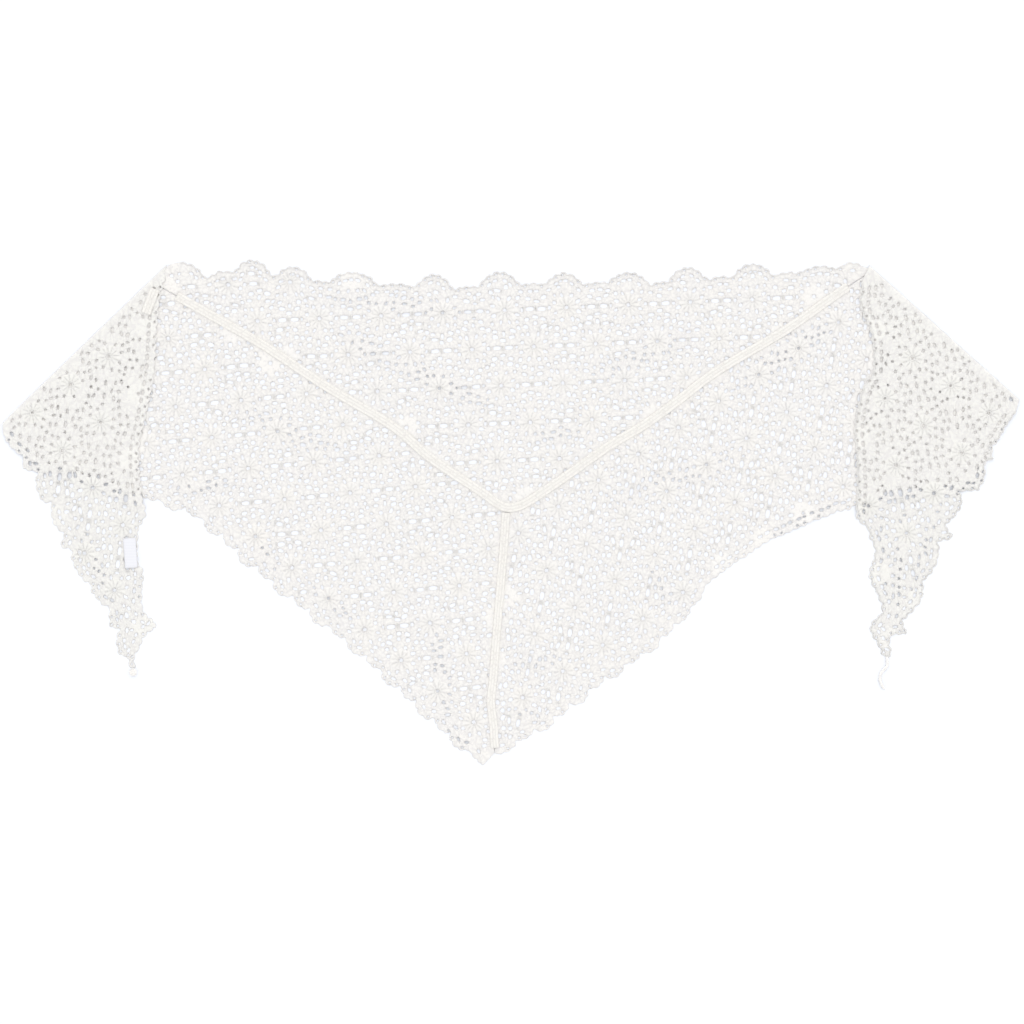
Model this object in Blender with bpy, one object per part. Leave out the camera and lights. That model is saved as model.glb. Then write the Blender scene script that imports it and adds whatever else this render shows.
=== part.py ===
# A triangular hip scarf of cotton floral lace, laid flat on a table and seen from above.
# An upper yoke meets two side panels along a V-shaped tape, the side panels meet along a
# centre tape, and both long ends are folded over and trail down as tails.
# Every size and table below is in millimetres; finished meshes are in metres, +Z up, with
# the origin on the table under the middle of the scarf.
import math

import bpy
from mathutils.geometry import delaunay_2d_cdt

metres_per_mm = 0.001

# Thicknesses and clearances.
cloth_wall = 1.6
tape_wall = 1.2
label_wall = 1.0
piece_gap = 0.3
layer_height = cloth_wall + piece_gap

# From the middle of the tables to the middle of the scarf's footprint.
table_middle_x = -1.0
table_middle_y = 0.47

# Tapes, label and cords.
tape_width = 10.0
centre_tape_width = 9.0
fold_tape_width = 10.5
tape_crown = 0.15
label_width = 14.0
label_length = 33.0
label_corner = 1.6
cord_diameter = 3.6
knot_width = 9.0
knot_height = 6.0
knot_sides = 12

# The knot's rings from the table up: share of its height, share of its width.
knot_rings = (
    (0.06, 0.62),
    (0.28, 0.94),
    (0.55, 1.0),
    (0.84, 0.66),
)

# The hem's lobes, worked in the lace: share of the repeat and height factor of each.
hem_repeat = 50.0
hem_lobes = ((0.56, 1.0), (0.44, 0.6))
lobe_roundness = 0.7
points_per_lobe = 5
lobe_step = 6.5
arch_step = 8.0

# The two largest gaps of each lace repeat, side by side with a bar between them.
gap_length = 10.5
gap_width = 5.2
gap_spacing = 13.5
gap_margin = 3.2
lace_reach = 16
tape_margin = 8.0
fold_margin = 7.0

# A crease keeps this share of its height at its two ends.
crease_end_share = 0.35

# How a folded end leaves the table at its fold and comes down past the hem.
fold_turn = 1.6
fold_step = 0.2
fold_clearance = fold_turn + fold_step + piece_gap
fold_round = 0.7
fold_bevel = 0.6
fold_overrun = 0.03
drop_start = 7.0
drop_length = 10.0

# Where the tapes stop: short of a folded end, below the V and above the tip.
end_gap = 1.5
centre_tape_start = 0.5 * tape_width + 2 * piece_gap
centre_tape_stop = 6.0
fold_tape_lift = 0.1

edge_step = 9.0
seam_step = 12.0
crease_step = 16.0

# Fold lines of the two ends, low end and high end: x, y.
left_fold = ((-560.0, 100.0), (-380.0, 273.0))
right_fold = ((558.0, 125.0), (393.0, 272.5))

# Valley line of the top edge, left to right: x, y.
top_rows = (
    (-382, 264),
    (-336, 259),
    (-264, 259),
    (-195, 254),
    (-127, 250),
    (-58, 245),
    (15, 250),
    (77, 251),
    (157, 251),
    (229, 256),
    (295, 261),
    (345, 264),
    (398, 270),
)

# Lobes along the top edge: x of the middle, width, height.
top_lobes = (
    (-362, 50, 14),
    (-316, 34, 7),
    (-286, 44, 19),
    (-240, 40, 13),
    (-174, 52, 12),
    (-125, 34, 2),
    (-85, 40, 16),
    (-50, 30, 4),
    (-15, 48, 17),
    (22, 26, 2),
    (57, 40, 13),
    (97, 32, 3),
    (128, 46, 14),
    (165, 26, 3),
    (192, 44, 17),
    (229, 30, 4),
    (264, 46, 15),
    (302, 30, 3),
    (338, 46, 8),
    (371, 34, 8),
)

# Seam between the yoke and the side panels, left end, bottom of the V, right end: x, y.
v_left_rows = (
    (-400, 256),
    (-384, 247),
    (-348, 227),
    (-276, 186),
    (-204, 139),
    (-132, 96),
    (-89, 60),
    (-35, 24),
    (-17, 11),
    (-6, 6),
)
v_right_rows = (
    (-6, 6),
    (6, 7),
    (20, 14),
    (53, 36),
    (107, 74),
    (144, 96),
    (183, 124),
    (227, 157),
    (299, 200),
    (349, 235),
    (371, 250),
    (382, 257),
    (400, 268),
)

# Seam between the side panels, from the bottom of the V to the tip: x, y.
centre_rows = (
    (-6, 6),
    (-7, -5),
    (-11, -62),
    (-16, -120),
    (-21, -184),
    (-23, -208),
    (-20, -237),
    (-19, -264),
)

# Hem of the left panel, from the fold to the tip: x, y, lobe height.
left_hem_rows = (
    (-557, 112, 0),
    (-546, 86, 2),
    (-527, 66, 3),
    (-503, 54, 4),
    (-460, 44, 5),
    (-416, 24, 5),
    (-376, 12, 7),
    (-348, 0, 7),
    (-322, -19, 9),
    (-288, -51, 9),
    (-242, -90, 8),
    (-167, -151, 7),
    (-64, -245, 8),
    (-46, -261, 5),
    (-31, -277, 2),
)

# Hem of the right panel, from the tip to the fold: x, y, lobe height. It is rolled and
# smooth between x = 208 and x = 353.
right_hem_rows = (
    (-17, -265, 3),
    (1, -252, 6),
    (42, -226, 8),
    (90, -188, 8),
    (129, -162, 7),
    (164, -135, 7),
    (205, -94, 3),
    (213, -80, 0),
    (235, -62, 0),
    (258, -46, 0),
    (282, -30, 1),
    (329, -9, 1),
    (353, 1, 2),
    (376, 9, 4),
    (400, 22, 4),
    (432, 30, 4),
    (486, 36, 4),
    (514, 52, 4),
    (532, 80, 3),
    (542, 106, 2),
    (548, 140, 0),
)

# Hem edge of the left end, from the fold down to the tip of its tail. Its scallops hang in
# corners: x, y of each corner, how far the stretch to the next one stands out.
left_end_hem_rows = (
    (-560, 99, 2),
    (-554, 78, 1.5),
    (-536.4, 62, 1.5),
    (-536.4, 48.5, 0),
    (-521, 45.5, 4.5),
    (-516, 13, 0),
    (-506, 11.5, 6),
    (-492, -24, 0),
    (-496, -37, 0),
    (-484.5, -40, 3),
    (-474, -70, 1.5),
    (-463, -78, 2),
    (-457, -93, 2),
    (-442.5, -104, 1),
    (-441, -125.5, 0),
    (-431.5, -126.5, 3.5),
    (-431, -156, 0),
    (-423.5, -158, 0),
    (-420, -169, 0),
)

# Inner edge of the left end, from the tip of its tail up to the fold: x, y.
left_end_inner_rows = (
    (-415, -170),
    (-416, -158),
    (-410, -147),
    (-404, -134),
    (-391, -123),
    (-404, -111),
    (-408, -99),
    (-406, -66),
    (-412, -54),
    (-411, -18),
    (-403, -1),
    (-407, 17),
    (-411, 66),
    (-402, 110),
    (-394, 154),
    (-391, 201),
    (-387, 238),
    (-380, 262),
)

# Hem edge of the right end, from the tip of its tail up to the fold. Its scallops hang in
# corners: x, y of each corner, how far the stretch to the next one stands out.
right_end_hem_rows = (
    (416, -157, 1.5),
    (415, -145, 0),
    (416.5, -134, 0),
    (433, -132, 0),
    (429, -118, 1),
    (448, -98, 2.5),
    (451.5, -76, 1.5),
    (467.5, -53, 1.5),
    (469, -31, 0),
    (484, -27, 0),
    (477, -14, 1),
    (494, 8, 2.5),
    (490.5, 24, 0),
    (512, 25.5, 4),
    (519, 55, 0),
    (529, 60, 0),
    (525, 72, 1.5),
    (543, 96, 2),
    (558, 124, 0),
)

# Inner edge of the right end, from the fold down to the tip of its tail: x, y.
right_end_inner_rows = (
    (386, 258),
    (384, 244),
    (384, 224),
    (396, 194),
    (397, 156),
    (387, 139),
    (377, 99),
    (379, 60),
    (380, 29),
    (379, -6),
    (391, -15),
    (394, -28),
    (400, -42),
    (393.5, -67),
    (399, -83),
    (408, -107),
    (396.5, -120),
    (394, -130),
    (402, -143),
    (408, -157),
)

# Lace repeats: where one flower sits, the two steps to its neighbours, and the direction of
# a pair of gaps.
yoke_lace = ((-44, 180), (36, 43), (32, -40), (68, 3))
left_lace = ((-218, 56), (32, 41), (40, -34), (72, 7))
right_lace = ((214, 53), (-31, 41), (44, 29), (75, -12))
left_end_lace = ((-452, 100), (42, 31), (-33, 41), (4, 70))
right_end_lace = ((452, 96), (-42, 30), (30, 44), (-8, 70))

# Soft creases that raise the cloth: x and y of each end, half width, height.
yoke_creases = (
    (-184, 196, -132, 166, 17, 3.0),
    (-132, 166, -30, 122, 17, 3.5),
    (-204, 238, -38, 219, 15, 2.5),
    (90, 150, 196, 196, 18, 2.0),
    (20, 84, 78, 90, 13, 2.2),
)
left_creases = (
    (-366, 26, -311, 34, 11, 4.0),
    (-282, -24, -262, -62, 12, 3.0),
    (-222, -82, -176, -116, 12, 2.6),
    (-84, -128, -72, -226, 13, 3.6),
    (-300, 112, -180, 64, 20, 2.0),
    (-72, -232, -40, -262, 9, 4.0),
)
right_creases = (
    (252, 140, 356, 210, 20, 3.2),
    (0, -168, 56, -160, 14, 2.2),
    (214, -92, 288, -32, 10, 4.0),
    (290, -22, 362, 12, 11, 4.2),
    (0, -218, 34, -228, 12, 2.0),
    (150, -60, 176, -100, 14, 2.6),
    (120, 20, 252, 62, 22, 1.8),
)
left_end_creases = (
    (-478, -8, -432, -116, 11, 3.4),
    (-416, -76, -408, -112, 7, 2.2),
    (-520, 100, -440, 150, 16, 2.4),
    (-430, 96, -410, 200, 12, 2.0),
)
right_end_creases = (
    (404, -2, 414, -96, 8, 4.0),
    (432, 8, 420, -130, 9, 4.4),
    (470, 10, 436, -96, 10, 3.2),
    (400, 100, 424, 216, 14, 2.6),
    (450, 150, 508, 112, 16, 2.4),
)

# Route of the cord at the right tip along the table: x, y. Middle of the left tip's knot.
cord_rows = (
    (412.0, -157.6),
    (412.6, -162.6),
    (412.4, -168.0),
    (408.4, -172.6),
    (405.0, -177.4),
    (404.6, -183.2),
    (406.6, -188.8),
    (409.4, -193.6),
)
knot_place = (-416.4, -174.9)

# The label on the left tail: x, y and turn in degrees; the tape that shows past the left
# fold: x, y of both ends.
label_place = (-419.5, -44.0, 4.0)
fold_tape_rows = ((-392, 246), (-397, 233), (-402, 219))


def spline(rows, steps=12):
    # A smooth curve through every row, in all of its columns.
    points = []
    last = len(rows) - 1
    for index in range(last):
        before = rows[max(index - 1, 0)]
        start = rows[index]
        end = rows[index + 1]
        after = rows[min(index + 2, last)]
        for step in range(steps):
            t = step / steps
            point = []
            for a, b, c, d in zip(before, start, end, after):
                bend = (2 * a - 5 * b + 4 * c - d) * t * t + (3 * b - 3 * c + d - a) * t ** 3
                point.append(0.5 * (2 * b + (c - a) * t + bend))
            points.append(tuple(point))
    points.append(tuple(float(value) for value in rows[last]))
    return points


def running_length(points):
    lengths = [0.0]
    for one, two in zip(points, points[1:]):
        lengths.append(lengths[-1] + math.hypot(two[0] - one[0], two[1] - one[1]))
    return lengths


def read_path(points, lengths, place):
    # The values at a length along a path, and the unit direction of travel there.
    index = 0
    while index < len(lengths) - 2 and lengths[index + 1] < place:
        index += 1
    span = lengths[index + 1] - lengths[index]
    share = min(max((place - lengths[index]) / span, 0.0), 1.0)
    one = points[index]
    two = points[index + 1]
    values = tuple(a + (b - a) * share for a, b in zip(one, two))
    return values, ((two[0] - one[0]) / span, (two[1] - one[1]) / span)


def even_path(rows, spacing, start=0.0, short=0.0):
    # Points at an even spacing along the smooth curve through the rows, from a length past
    # its start to a length short of its end.
    points = spline(rows)
    lengths = running_length(points)
    span = lengths[-1] - start - short
    count = max(2, round(span / spacing))
    return [read_path(points, lengths, start + span * step / count)[0] for step in range(count + 1)]


def beside(points, distance):
    # The same path moved sideways, to the left of travel when the distance is positive.
    moved = []
    last = len(points) - 1
    for index, point in enumerate(points):
        one = points[max(index - 1, 0)]
        two = points[min(index + 1, last)]
        run = math.hypot(two[0] - one[0], two[1] - one[1])
        moved.append((
            point[0] - (two[1] - one[1]) / run * distance,
            point[1] + (two[0] - one[0]) / run * distance,
        ))
    return moved


def scalloped(rows, repeat, lobes):
    # A trimmed hem: round lobes stand out to the right of travel, a set of them each repeat.
    points = spline(rows)
    lengths = running_length(points)
    repeats = round(lengths[-1] / repeat)
    width = lengths[-1] / repeats
    edge = []
    for index in range(repeats):
        start = index * width
        for share, factor in lobes:
            for step in range(points_per_lobe):
                turn = step / points_per_lobe
                place = start + turn * share * width
                values, direction = read_path(points, lengths, place)
                rise = values[2] * factor * math.sin(math.pi * turn) ** lobe_roundness
                edge.append((values[0] + direction[1] * rise, values[1] - direction[0] * rise))
            start += share * width
    edge.append(points[-1][:2])
    return edge


def arched(rows):
    # A trimmed hem whose corners are given: each stretch stands out in an arch to the right
    # of travel.
    edge = []
    for one, two in zip(rows, rows[1:]):
        run = math.hypot(two[0] - one[0], two[1] - one[1])
        out_x = (two[1] - one[1]) / run
        out_y = (one[0] - two[0]) / run
        steps = max(1, round(run / arch_step)) if one[2] else 1
        for step in range(steps):
            share = step / steps
            rise = one[2] * math.sin(math.pi * share)
            edge.append((
                one[0] + (two[0] - one[0]) * share + out_x * rise,
                one[1] + (two[1] - one[1]) * share + out_y * rise,
            ))
    edge.append(rows[-1][:2])
    return edge


def lobed(rows, lobes):
    # The top edge: single lobes of their own widths stand up from the valley line.
    edge = []
    for x, y in even_path(rows, lobe_step):
        rise = 0.0
        for middle, width, height in lobes:
            off = abs(x - middle) / (0.5 * width)
            if off < 1.0:
                rise = max(rise, height * math.cos(0.5 * math.pi * off) ** lobe_roundness)
        edge.append((x, y + rise))
    return edge


def fold_depth(point, fold):
    # Distance from a fold line, positive on the scarf's side of it.
    low, high = fold
    run = math.hypot(high[0] - low[0], high[1] - low[1])
    cross = (high[0] - low[0]) * (point[1] - low[1]) - (high[1] - low[1]) * (point[0] - low[0])
    return abs(cross / run) if cross * low[0] > 0 else -abs(cross / run)


def trim(outline, fold, clearance):
    # The part of an outline that lies at least the clearance inside a fold line.
    kept = []
    for one, two in zip(outline, outline[1:] + outline[:1]):
        depth_one = fold_depth(one, fold) - clearance
        depth_two = fold_depth(two, fold) - clearance
        if depth_one >= 0:
            kept.append(one)
        if depth_one * depth_two < 0:
            share = depth_one / (depth_one - depth_two)
            kept.append((one[0] + (two[0] - one[0]) * share, one[1] + (two[1] - one[1]) * share))
    return kept


def inside(point, outline):
    x, y = point
    result = False
    for one, two in zip(outline, outline[1:] + outline[:1]):
        if (one[1] > y) != (two[1] > y):
            if x < one[0] + (y - one[1]) / (two[1] - one[1]) * (two[0] - one[0]):
                result = not result
    return result


def segment_distance(point, one, two):
    # Distance from a segment, and the share of the segment at the nearest place.
    run_x = two[0] - one[0]
    run_y = two[1] - one[1]
    share = ((point[0] - one[0]) * run_x + (point[1] - one[1]) * run_y) / (run_x ** 2 + run_y ** 2)
    share = min(max(share, 0.0), 1.0)
    away_x = point[0] - one[0] - run_x * share
    away_y = point[1] - one[1] - run_y * share
    return math.hypot(away_x, away_y), share


def path_distance(point, path):
    return min(segment_distance(point, one, two)[0] for one, two in zip(path, path[1:]))


def past_hem(point, hem):
    # How far a point lies outside a side panel's hem, measured from its nearest stretch.
    spans = zip(hem, hem[1:])
    one, two = min(spans, key=lambda span: segment_distance(point, *span)[0])
    run = math.hypot(two[0] - one[0], two[1] - one[1])
    cross = (point[0] - one[0]) * (two[1] - one[1]) - (point[1] - one[1]) * (two[0] - one[0])
    return cross / run


def crease_height(point, creases):
    height = 0.0
    for x_one, y_one, x_two, y_two, half_width, rise in creases:
        distance, share = segment_distance(point, (x_one, y_one), (x_two, y_two))
        if distance < half_width:
            across = math.cos(0.5 * math.pi * distance / half_width) ** 2
            along = crease_end_share + (1.0 - crease_end_share) * math.sin(math.pi * share)
            height = max(height, rise * across * along)
    return height


def crease_lines(creases):
    # Rows of points along the top of each crease and along its two feet.
    lines = []
    for x_one, y_one, x_two, y_two, half_width, rise in creases:
        middle = even_path(((x_one, y_one), (x_two, y_two)), crease_step)
        run = math.hypot(x_two - x_one, y_two - y_one)
        past_x = (x_two - x_one) / run * half_width
        past_y = (y_two - y_one) / run * half_width
        first = (x_one - past_x, y_one - past_y)
        last = (x_two + past_x, y_two + past_y)
        lines.append([first] + middle + [last])
        lines.append([first] + beside(middle, half_width) + [last])
        lines.append([first] + beside(middle, -half_width) + [last])
    return lines


def gap_outline(centre, axis):
    # One gap of the lace, a pointed oval of six corners.
    run = math.hypot(axis[0], axis[1])
    along = (axis[0] / run, axis[1] / run)
    corners = (
        (-0.5, 0.0),
        (-0.2, -0.5),
        (0.22, -0.5),
        (0.5, 0.0),
        (0.2, 0.5),
        (-0.22, 0.5),
    )
    points = []
    for share_along, share_across in corners:
        far = share_along * gap_length
        wide = share_across * gap_width
        points.append((
            centre[0] + along[0] * far - along[1] * wide,
            centre[1] + along[1] * far + along[0] * wide,
        ))
    return points


def lace_gaps(lace, outline, covered, tapes, folds):
    # The pair of gaps of every repeat that lies whole on the cloth, clear of its edge, of
    # the tapes, of the folds and of what covers it.
    origin, step_one, step_two, axis = lace
    run = math.hypot(axis[0], axis[1])
    gaps = []
    for count_one in range(-lace_reach, lace_reach + 1):
        for count_two in range(-lace_reach, lace_reach + 1):
            middle_x = origin[0] + step_one[0] * (count_one + 0.5) + step_two[0] * (count_two + 0.5)
            middle_y = origin[1] + step_one[1] * (count_one + 0.5) + step_two[1] * (count_two + 0.5)
            for side in (-0.5, 0.5):
                shift = side * gap_spacing / run
                centre = (middle_x + axis[0] * shift, middle_y + axis[1] * shift)
                gap = gap_outline(centre, axis)
                if not all(inside(point, outline) for point in gap):
                    continue
                if covered and any(inside(point, covered) for point in gap):
                    continue
                rim = outline + outline[:1]
                if min(path_distance(point, rim) for point in gap) < gap_margin:
                    continue
                if covered and path_distance(centre, covered + covered[:1]) < gap_length:
                    continue
                if any(path_distance(centre, tape) < tape_margin + gap_width for tape in tapes):
                    continue
                if any(fold_depth(centre, fold) < fold_margin + gap_width for fold in folds):
                    continue
                gaps.append(gap)
    return gaps


def triangulate(outline, gaps, lines):
    # Triangles between an outline and its gaps, with the given rows of points kept as edges.
    coordinates = []
    edges = []
    for ring in [outline] + gaps:
        start = len(coordinates)
        coordinates.extend(ring)
        count = len(ring)
        edges.extend((start + index, start + (index + 1) % count) for index in range(count))
    for line in lines:
        start = len(coordinates)
        coordinates.extend(line)
        edges.extend((start + index, start + index + 1) for index in range(len(line) - 1))
    points, _, faces, *_ = delaunay_2d_cdt(coordinates, edges, [], 0, 1e-4, False)
    triangles = []
    for face in faces:
        corners = [points[index] for index in face]
        middle = (sum(corner[0] for corner in corners) / 3, sum(corner[1] for corner in corners) / 3)
        if not inside(middle, outline):
            continue
        if any(math.dist(middle, gap[0]) < 2 * gap_length and inside(middle, gap) for gap in gaps):
            continue
        triangles.append(tuple(face))
    return [(point[0], point[1]) for point in points], triangles


def add_piece(name, vertices, faces, colour, roughness, smooth=False):
    # One object with its own material, placed in metres about the scarf's middle.
    mesh = bpy.data.meshes.new(name)
    placed = []
    for x, y, z in vertices:
        placed.append((
            (x - table_middle_x) * metres_per_mm,
            (y - table_middle_y) * metres_per_mm,
            z * metres_per_mm,
        ))
    mesh.from_pydata(placed, [], faces)
    mesh.update()
    if smooth:
        mesh.shade_smooth()
    piece = bpy.data.objects.new(name, mesh)
    bpy.context.scene.collection.objects.link(piece)
    add_material(piece, colour, roughness)
    return piece


def add_material(piece, colour, roughness):
    material = bpy.data.materials.new(piece.name)
    material.use_nodes = True
    shader = material.node_tree.nodes["Principled BSDF"]
    shader.inputs["Base Color"].default_value = (*colour, 1.0)
    shader.inputs["Roughness"].default_value = roughness
    shader.inputs["Metallic"].default_value = 0.0
    piece.data.materials.append(material)


def cloth_piece(name, outline, gaps, lines, under, over, colour, roughness):
    # A cloth wall: the same triangles above and below, joined by a rim round the outline
    # and round every gap.
    points, triangles = triangulate(outline, gaps, lines)
    used = sorted({index for triangle in triangles for index in triangle})
    place = {index: order for order, index in enumerate(used)}
    count = len(used)
    lower = [(*points[index], under(points[index])) for index in used]
    upper = [(*points[index], over(points[index])) for index in used]
    faces = []
    directed = set()
    for one, two, three in triangles:
        a, b, c = place[one], place[two], place[three]
        faces.append((a + count, b + count, c + count))
        faces.append((c, b, a))
        directed.update(((a, b), (b, c), (c, a)))
    for one, two in sorted(directed):
        if (two, one) not in directed:
            faces.append((one, two, two + count, one + count))
    return add_piece(name, lower + upper, faces, colour, roughness)


def tape_piece(name, path, width, base, thickness):
    # A flat woven tape along a path, a little thicker along its middle.
    half = 0.5 * width
    outline = beside(path, -half) + beside(path, half)[::-1]
    crown = tape_crown * thickness

    def over(point):
        share = min(path_distance(point, path) / half, 1.0)
        return base + thickness + crown * (1.0 - share)

    return cloth_piece(
        name, outline, [], [path[1:-1]], lambda point: base, over, tape_ivory, tape_roughness
    )


def base_panel(name, outline, lace, creases, covered, seams):
    gaps = lace_gaps(lace, outline, covered, seams, (left_fold, right_fold))

    def under(point):
        return crease_height(point, creases)

    def over(point):
        return crease_height(point, creases) + cloth_wall

    return cloth_piece(
        name, outline, gaps, crease_lines(creases), under, over, lace_ivory, lace_roughness
    )


def end_piece(name, outline, lace, creases, fold, hem):
    # A folded end: its edge turns down to the table along the fold, it lies one layer up on
    # the side panel, and past that panel's hem it comes down to the table as a tail.
    drop_lines = [beside(hem, -drop_start - drop_length * share) for share in (0.0, 0.5, 1.0)]
    gaps = lace_gaps(lace, outline, None, drop_lines[:1], (fold,))

    def settle(point):
        # Height of the layer below, the share of the turn at the fold, the rounding there.
        depth = fold_depth(point, fold)
        turned = min(max((depth - fold_turn) / fold_step, 0.0), 1.0)
        rounding = max(0.0, 1.0 - depth / fold_round)
        drop = min(max((past_hem(point, hem) - drop_start) / drop_length, 0.0), 1.0)
        return layer_height * (1.0 - drop * drop * (3.0 - 2.0 * drop)), turned, rounding

    def under(point):
        height, turned, rounding = settle(point)
        return max(fold_bevel * rounding, height * turned) + crease_height(point, creases) * turned

    def over(point):
        height, turned, rounding = settle(point)
        return height + cloth_wall - fold_bevel * rounding + crease_height(point, creases) * turned

    low, high = fold
    past_x = fold_overrun * (high[0] - low[0])
    past_y = fold_overrun * (high[1] - low[1])
    whole = ((low[0] - past_x, low[1] - past_y), (high[0] + past_x, high[1] + past_y))
    inward = -1.0 if fold is left_fold else 1.0
    along = even_path(whole, 2 * edge_step)
    depths = (fold_round, fold_turn, fold_turn + fold_step)
    lines = [beside(along, inward * depth) for depth in depths] + drop_lines + crease_lines(creases)
    return cloth_piece(name, outline, gaps, lines, under, over, end_ivory, lace_roughness)


def cord_piece(name, rows, diameter):
    route = even_path(rows, 2.2 * diameter)
    curve = bpy.data.curves.new(name, "CURVE")
    curve.dimensions = "3D"
    curve.bevel_depth = 0.5 * diameter * metres_per_mm
    curve.bevel_resolution = 2
    curve.use_fill_caps = True
    line = curve.splines.new("POLY")
    line.points.add(len(route) - 1)
    for point, (x, y) in zip(line.points, route):
        point.co = (
            (x - table_middle_x) * metres_per_mm,
            (y - table_middle_y) * metres_per_mm,
            0.5 * diameter * metres_per_mm,
            1.0,
        )
    piece = bpy.data.objects.new(name, curve)
    bpy.context.scene.collection.objects.link(piece)
    add_material(piece, lace_ivory, lace_roughness)
    return piece


def knot_piece(name, x, y):
    # A small round knot, flattened where it lies on the table.
    vertices = [(x, y, 0.0)]
    for height, size in knot_rings:
        for index in range(knot_sides):
            turn = 2 * math.pi * index / knot_sides
            vertices.append((
                x + 0.5 * knot_width * size * math.cos(turn),
                y + 0.5 * knot_width * size * math.sin(turn),
                knot_height * height,
            ))
    vertices.append((x, y, knot_height))
    top = len(vertices) - 1
    faces = []
    for index in range(knot_sides):
        after = (index + 1) % knot_sides
        faces.append((0, 1 + after, 1 + index))
        for ring in range(len(knot_rings) - 1):
            low = 1 + ring * knot_sides
            high = low + knot_sides
            faces.append((low + index, low + after, high + after, high + index))
        last = 1 + (len(knot_rings) - 1) * knot_sides
        faces.append((last + index, last + after, top))
    return add_piece(name, vertices, faces, lace_ivory, lace_roughness, smooth=True)


def label_piece(name, base):
    # A bare label folded double, with rounded corners, flat on the tail.
    x, y, degrees = label_place
    turn = math.radians(degrees)
    corner = label_corner
    outline = []
    for quarter in range(4):
        side_x = 1 if quarter in (0, 3) else -1
        side_y = 1 if quarter in (0, 1) else -1
        for step in range(4):
            angle = 0.5 * math.pi * (quarter + step / 3)
            flat_x = side_x * (0.5 * label_width - corner) + corner * math.cos(angle)
            flat_y = side_y * (0.5 * label_length - corner) + corner * math.sin(angle)
            outline.append((
                x + flat_x * math.cos(turn) - flat_y * math.sin(turn),
                y + flat_x * math.sin(turn) + flat_y * math.cos(turn),
            ))
    return cloth_piece(
        name,
        outline,
        [],
        [],
        lambda point: base,
        lambda point: base + label_wall,
        label_white,
        label_roughness,
    )


lace_ivory = (0.89, 0.885, 0.875)
end_ivory = (0.84, 0.83, 0.80)
tape_ivory = (0.90, 0.87, 0.81)
label_white = (0.93, 0.93, 0.93)
lace_roughness = 0.82
tape_roughness = 0.72
label_roughness = 0.6

for old in list(bpy.data.objects):
    bpy.data.objects.remove(old, do_unlink=True)

# Shared lines: the two arms of the V, the centre seam and the two hems.
v_left = even_path(v_left_rows, seam_step)
v_right = even_path(v_right_rows, seam_step)
v_seam = v_left + v_right[1:]
centre_seam = even_path(centre_rows, 2 * edge_step)
bottom = len(v_left) - 1
half_gap = 0.5 * piece_gap
above_seam = beside(v_seam, half_gap)
below_seam = beside(v_seam, -half_gap)
top_edge = lobed(top_rows, top_lobes)
left_hem = scalloped(left_hem_rows, hem_repeat, hem_lobes)
right_hem = scalloped(right_hem_rows, hem_repeat, hem_lobes)

yoke_outline = trim(above_seam + top_edge[::-1], left_fold, fold_clearance)
yoke_outline = trim(yoke_outline, right_fold, fold_clearance)

seam_foot = centre_seam[1:]
left_of_centre = beside(seam_foot, -half_gap)
right_of_centre = beside(seam_foot, half_gap)
v_point = v_seam[bottom]
left_corner = (v_point[0] - half_gap, v_point[1] - piece_gap)
right_corner = (v_point[0] + half_gap, v_point[1] - piece_gap)
left_outline = left_hem + left_of_centre[::-1] + [left_corner] + below_seam[:bottom][::-1]
left_outline = trim(left_outline, left_fold, fold_clearance)
right_outline = [right_corner] + right_of_centre + right_hem + below_seam[bottom + 1:][::-1]
right_outline = trim(right_outline, right_fold, fold_clearance)

left_end_hem = arched(left_end_hem_rows)
left_end_inner = even_path(left_end_inner_rows, edge_step)
left_end_outline = left_end_hem + left_end_inner + [left_fold[1]]
left_end_outline += even_path((left_fold[1], left_fold[0]), 2 * edge_step)[1:-1]

right_end_hem = arched(right_end_hem_rows)
right_end_inner = even_path(right_end_inner_rows, edge_step)
right_end_outline = right_end_inner + right_end_hem[:-1]
right_end_outline += even_path(right_fold, 2 * edge_step)

base_panel("yoke_panel", yoke_outline, yoke_lace, yoke_creases, None, (v_seam,))
base_panel("left_panel", left_outline, left_lace, left_creases, left_end_outline, (v_seam, centre_seam))
base_panel("right_panel", right_outline, right_lace, right_creases, right_end_outline, (v_seam, centre_seam))
left_hem_line = [point[:2] for point in even_path(left_hem_rows, 2 * edge_step)]
right_hem_line = [point[:2] for point in even_path(right_hem_rows, 2 * edge_step)]
end_piece("left_end", left_end_outline, left_end_lace, left_end_creases, left_fold, left_hem_line)
end_piece("right_end", right_end_outline, right_end_lace, right_end_creases, right_fold, right_hem_line)

# The tapes lie one layer up and stop where a folded end lies at the same height.
ends = (left_end_outline, right_end_outline)


def clear_of_ends(point):
    margin = 0.5 * tape_width + end_gap
    return not any(inside(point, end) or path_distance(point, end) < margin for end in ends)


v_start = max(index for index in range(bottom) if not clear_of_ends(v_seam[index])) + 1
v_stop = min(index for index in range(bottom, len(v_seam)) if not clear_of_ends(v_seam[index]))
v_path = v_seam[v_start:v_stop]
tape_piece("v_tape", v_path, tape_width, layer_height, tape_wall)
centre_path = even_path(centre_rows, seam_step, centre_tape_start, centre_tape_stop)
tape_piece("centre_tape", centre_path, centre_tape_width, layer_height, tape_wall)
fold_path = even_path(fold_tape_rows, edge_step)
fold_tape_base = 2 * layer_height + fold_tape_lift
tape_piece("left_fold_tape", fold_path, fold_tape_width, fold_tape_base, tape_wall)
label_piece("care_label", layer_height)

knot_piece("left_tip_knot", *knot_place)
cord_piece("right_tip_cord", cord_rows, cord_diameter)
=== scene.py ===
# A hip scarf of white cotton floral lace, laid flat on a pale table and seen from above.
import math

import bpy
import numpy as np
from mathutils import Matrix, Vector
from mathutils.geometry import delaunay_2d_cdt


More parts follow.
